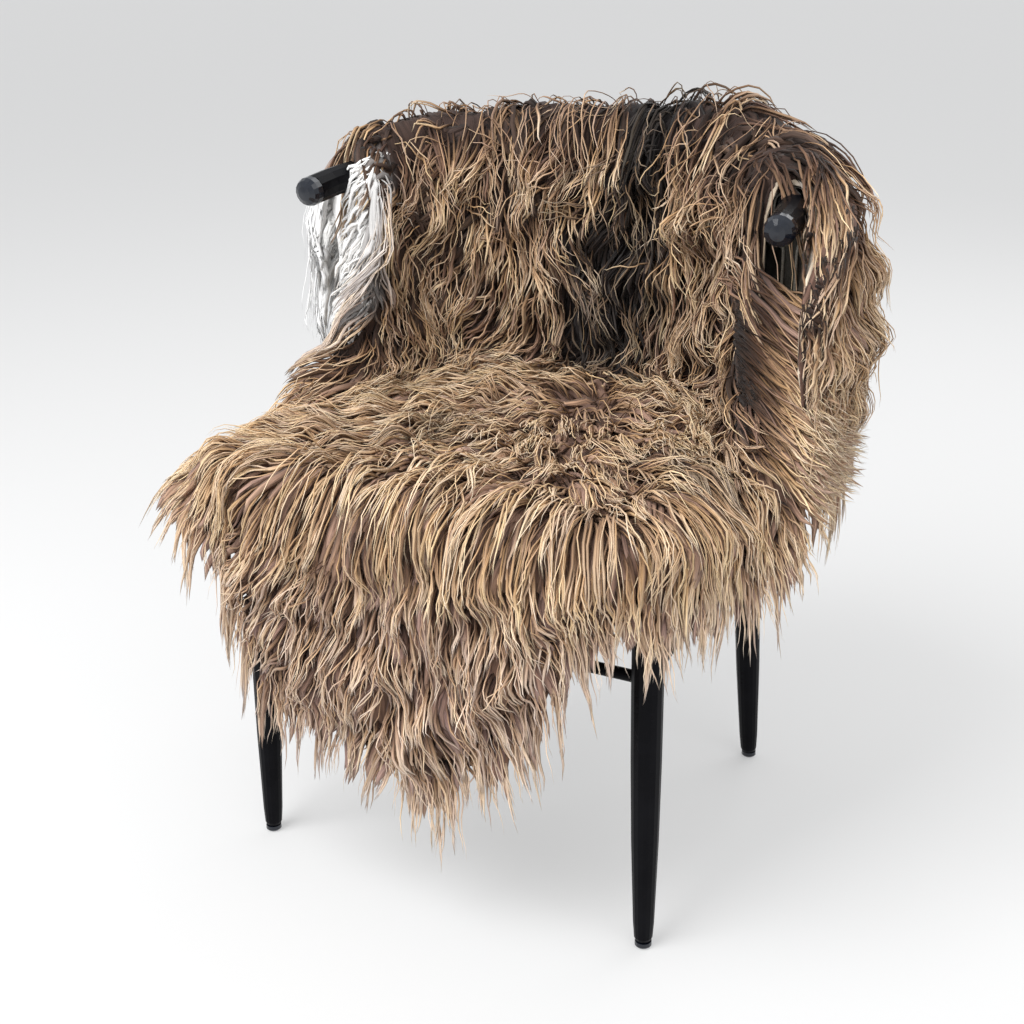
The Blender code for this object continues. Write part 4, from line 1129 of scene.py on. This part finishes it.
# %% Chair finishes
def paint_material(name, colour, roughness, coat, shine):
    """Satin paint: faint clouds in colour and roughness, and the ripple of a sprayed coat."""
    made, tree, shader = new_material(name)
    place = add_node(tree, "ShaderNodeTexCoord")
    cloud = add_node(
        tree, "ShaderNodeTexNoise", {"Vector": place.outputs["Object"], "Scale": 26.0, "Detail": 5.0}
    )
    speck = add_node(
        tree, "ShaderNodeTexNoise", {"Vector": place.outputs["Object"], "Scale": 900.0, "Detail": 2.0}
    )
    lighter = tuple(channel * 1.5 + 0.001 for channel in colour)
    tree.links.new(ramp(tree, cloud.outputs[0], [(0.35, colour), (0.75, lighter)]), shader.inputs["Base Color"])
    rough = add_node(
        tree,
        "ShaderNodeMapRange",
        {"Value": cloud.outputs[0], 1: 0.3, 2: 0.7, 3: roughness - 0.07, 4: roughness + 0.07},
    )
    tree.links.new(rough.outputs[0], shader.inputs["Roughness"])
    bump = add_node(tree, "ShaderNodeBump", {"Height": speck.outputs[0], "Strength": 0.12, "Distance": 0.0002})
    tree.links.new(bump.outputs[0], shader.inputs["Normal"])
    shader.inputs["Coat Weight"].default_value = coat
    shader.inputs["Coat Roughness"].default_value = 0.12
    shader.inputs["Specular IOR Level"].default_value = shine
    return made


def leather_material(name, dark, light, roughness):
    """Leather: grain creases darker than the cells, and clouds of wear."""
    made, tree, shader = new_material(name)
    grain = place_group(tree, GRAIN, {"Scale": 520.0, "Depth": 0.5})
    colour = ramp(tree, grain.outputs["Cloud"], [(0.35, dark), (0.70, light)])
    crease = ramp(tree, grain.outputs["Crease"], [(0.0, (0.55, 0.55, 0.55)), (0.6, (1.0, 1.0, 1.0))])
    colour = mix_colour(tree, 1.0, colour, crease, blend="MULTIPLY")
    tree.links.new(colour, shader.inputs["Base Color"])
    rough = add_node(
        tree,
        "ShaderNodeMapRange",
        {"Value": grain.outputs["Cloud"], 1: 0.3, 2: 0.7, 3: roughness - 0.08, 4: roughness + 0.08},
    )
    tree.links.new(rough.outputs[0], shader.inputs["Roughness"])
    tree.links.new(grain.outputs["Normal"], shader.inputs["Normal"])
    return made


finishes = {
    "frame": paint_material("black_satin_paint", (0.0030, 0.0030, 0.0040), 0.30, 0.0, 0.06),
    "cap": paint_material("smooth_black_cap", (0.004, 0.006, 0.011), 0.16, 0.30, 0.4),
    "pad": leather_material("olive_leather", (0.046, 0.042, 0.034), (0.082, 0.075, 0.062), 0.50),
    "seat": leather_material("black_leather", (0.010, 0.010, 0.010), (0.022, 0.021, 0.020), 0.55),
}
KINDS = (("leg", "frame"), ("stretcher", "frame"), ("apron", "frame"), ("back_rail", "frame"))
KINDS += (("glide", "cap"), ("rail_cap", "cap"), ("back_pad", "pad"), ("seat", "seat"))
for name, node in nodes.items():
    for start, finish in KINDS:
        if name.startswith(start):
            node.data.materials.clear()
            node.data.materials.append(finishes[finish])
            node.data.shade_smooth()
print("chair finishes:", ", ".join(finishes))

# %% [markdown]
# A pale welt is sewn round each end of the back pad. It is a thin tube that follows the outline of the
# pad's end: a drop that hugs the rail and then runs straight down.

# %% The welts of the back pad
PAD_END = 20.5
WELT_RADIUS, WELT_OUT = 0.0016, 0.0012
WELT_OUTLINE = np.array(
    [(0.0, 20.0), (12.0, 16.0), (19.4, 5.0), (19.2, -7.0), (15.0, -22.0), (7.0, -48.0), (7.0, -174.0), (4.0, -180.0)]
) * MILLIMETRE


def rail_point(degrees):
    """The middle of the back rail in that direction."""
    out = rail_distance(degrees)
    rise = np.clip(np.sin(np.radians(degrees)), 0, 1) ** RAIL_RISE_SHAPE
    angle = np.radians(degrees)
    return np.array([MIDDLE_X + out * np.cos(angle), MIDDLE_Y + out * np.sin(angle), RAIL_HEIGHT + RAIL_RISE * rise])


def welt_mesh(name, end, inward):
    """A closed tube of eight sides round the pad's end, made of circles along a smoothed outline."""
    along = rail_point(end + inward) - rail_point(end - inward)
    along = along / np.linalg.norm(along)
    outward = np.cross(along, [0.0, 0.0, 1.0])
    outward = outward / np.linalg.norm(outward)
    upward = np.cross(outward, along)
    corners = np.concatenate([WELT_OUTLINE, WELT_OUTLINE[::-1][:-1] * (-1, 1)])
    reach = np.concatenate([[0], np.cumsum(np.linalg.norm(np.diff(corners, axis=0), axis=1))])
    places = np.linspace(0, reach[-1], 97)[:-1]
    flat = np.stack([np.interp(places, reach, corners[:, k]) for k in (0, 1)], axis=1)
    flat = (np.roll(flat, 1, axis=0) + 2 * flat + np.roll(flat, -1, axis=0)) / 4
    route = rail_point(end) + flat[:, :1] * outward + flat[:, 1:] * upward - along * WELT_OUT
    forward_way = np.roll(route, -1, axis=0) - np.roll(route, 1, axis=0)
    forward_way = forward_way / np.linalg.norm(forward_way, axis=1, keepdims=True)
    side_way = np.cross(forward_way, along)
    angle = np.arange(8) * np.pi / 4
    circle = np.cos(angle)[None, :, None] * side_way[:, None] + np.sin(angle)[None, :, None] * along
    points = (route[:, None] + WELT_RADIUS * circle).reshape(-1, 3)
    ids = np.arange(len(points)).reshape(-1, 8)
    after, turned = np.roll(ids, -1, axis=0), np.roll(ids, -1, axis=1)
    quads = np.stack([ids, turned, np.roll(turned, -1, axis=0), after], axis=-1).reshape(-1, 4)
    if np.dot(np.cross(points[quads[0, 1]] - points[quads[0, 0]], points[quads[0, 3]] - points[quads[0, 0]]), points[quads[0, 0]] - route[0]) < 0:
        quads = quads[:, ::-1]
    return mesh_from_arrays(name, points, [quads])


welt_finish = leather_material("pale_welt", (0.30, 0.28, 0.24), (0.46, 0.43, 0.37), 0.55)
for side, end, inward in (("right", PAD_END, 0.5), ("left", 180 - PAD_END, -0.5)):
    add_piece(f"pad_welt_{side}", welt_mesh(f"pad_welt_{side}", end, inward), welt_finish)

# %% [markdown]
# The photograph was taken from above and to the right of the chair's front. The camera's place and its
# three turns were solved from the feet, legs and rail ends, and it looks with a normal lens.

# %% Camera
CAMERA_FROM_MIDDLE = np.array([0.7501, -1.4093, 1.0067])
YAW, PITCH, ROLL = 0.4972, 0.3719, -0.0115
FOCAL_PIXELS, PICTURE_PIXELS, SENSOR = 1498.0, 1024.0, 36.0
forward = np.array([-math.sin(YAW) * math.cos(PITCH), math.cos(YAW) * math.cos(PITCH), -math.sin(PITCH)])
right = np.array([math.cos(YAW), math.sin(YAW), 0.0])
upward = np.cross(right, forward)
rolled_right = right * math.cos(ROLL) + upward * math.sin(ROLL)
rolled_up = upward * math.cos(ROLL) - right * math.sin(ROLL)
position = CAMERA_FROM_MIDDLE + (MIDDLE_X, MIDDLE_Y, 0.0)
camera_data = bpy.data.cameras.new("camera")
camera_data.sensor_width = SENSOR
camera_data.lens = SENSOR * FOCAL_PIXELS / PICTURE_PIXELS
camera = bpy.data.objects.new("camera", camera_data)
turned = np.eye(4)
turned[:3, 0], turned[:3, 1], turned[:3, 2], turned[:3, 3] = rolled_right, rolled_up, -forward, position
camera.matrix_world = Matrix(turned.tolist())
bpy.context.scene.collection.objects.link(camera)
bpy.context.scene.camera = camera
print("camera at", [round(float(value), 3) for value in position])

# %% [markdown]
# The studio is a pale floor that runs into an equally pale background, and large soft lights: one high on
# the left, a weaker one on the right, and one behind for the edges of the wool.

# %% Floor and light
floor_mesh = bpy.data.meshes.new("floor")
REACH = 90.0
floor_mesh.from_pydata(
    [(-REACH, -REACH, 0.0), (REACH, -REACH, 0.0), (REACH, REACH, 0.0), (-REACH, REACH, 0.0)], [], [(0, 1, 2, 3)]
)
floor = bpy.data.objects.new("floor", floor_mesh)
bpy.context.scene.collection.objects.link(floor)
floor_finish, floor_tree, floor_shader = new_material("pale_floor")
floor_shader.inputs["Base Color"].default_value = (0.40, 0.40, 0.40, 1.0)
floor_shader.inputs["Emission Color"].default_value = (1.0, 1.0, 1.0, 1.0)
floor_shader.inputs["Emission Strength"].default_value = 0.337
floor_shader.inputs["Roughness"].default_value = 0.9
floor_mesh.materials.append(floor_finish)

world = bpy.data.worlds.new("studio")
world.use_nodes = True
world.node_tree.nodes["Background"].inputs["Color"].default_value = (0.86, 0.87, 0.88, 1.0)
world.node_tree.nodes["Background"].inputs["Strength"].default_value = 0.90
bpy.context.scene.world = world


def soft_light(name, place, target, size, watts):
    """A square area light at a place, turned to its target."""
    data = bpy.data.lights.new(name, "AREA")
    data.size = size
    data.energy = watts
    made = bpy.data.objects.new(name, data)
    made.location = place
    made.rotation_euler = (Vector(target) - Vector(place)).to_track_quat("-Z", "Y").to_euler()
    bpy.context.scene.collection.objects.link(made)
    return made


soft_light("key", (-0.9, -1.9, 3.0), (0.0, -0.1, 0.4), 2.2, 122)
soft_light("fill", (2.2, -1.4, 2.2), (0.0, 0.0, 0.5), 2.4, 26)
soft_light("edge", (0.6, 2.4, 2.6), (0.0, 0.0, 0.6), 2.2, 26)
bpy.context.scene.view_settings.view_transform = "Standard"
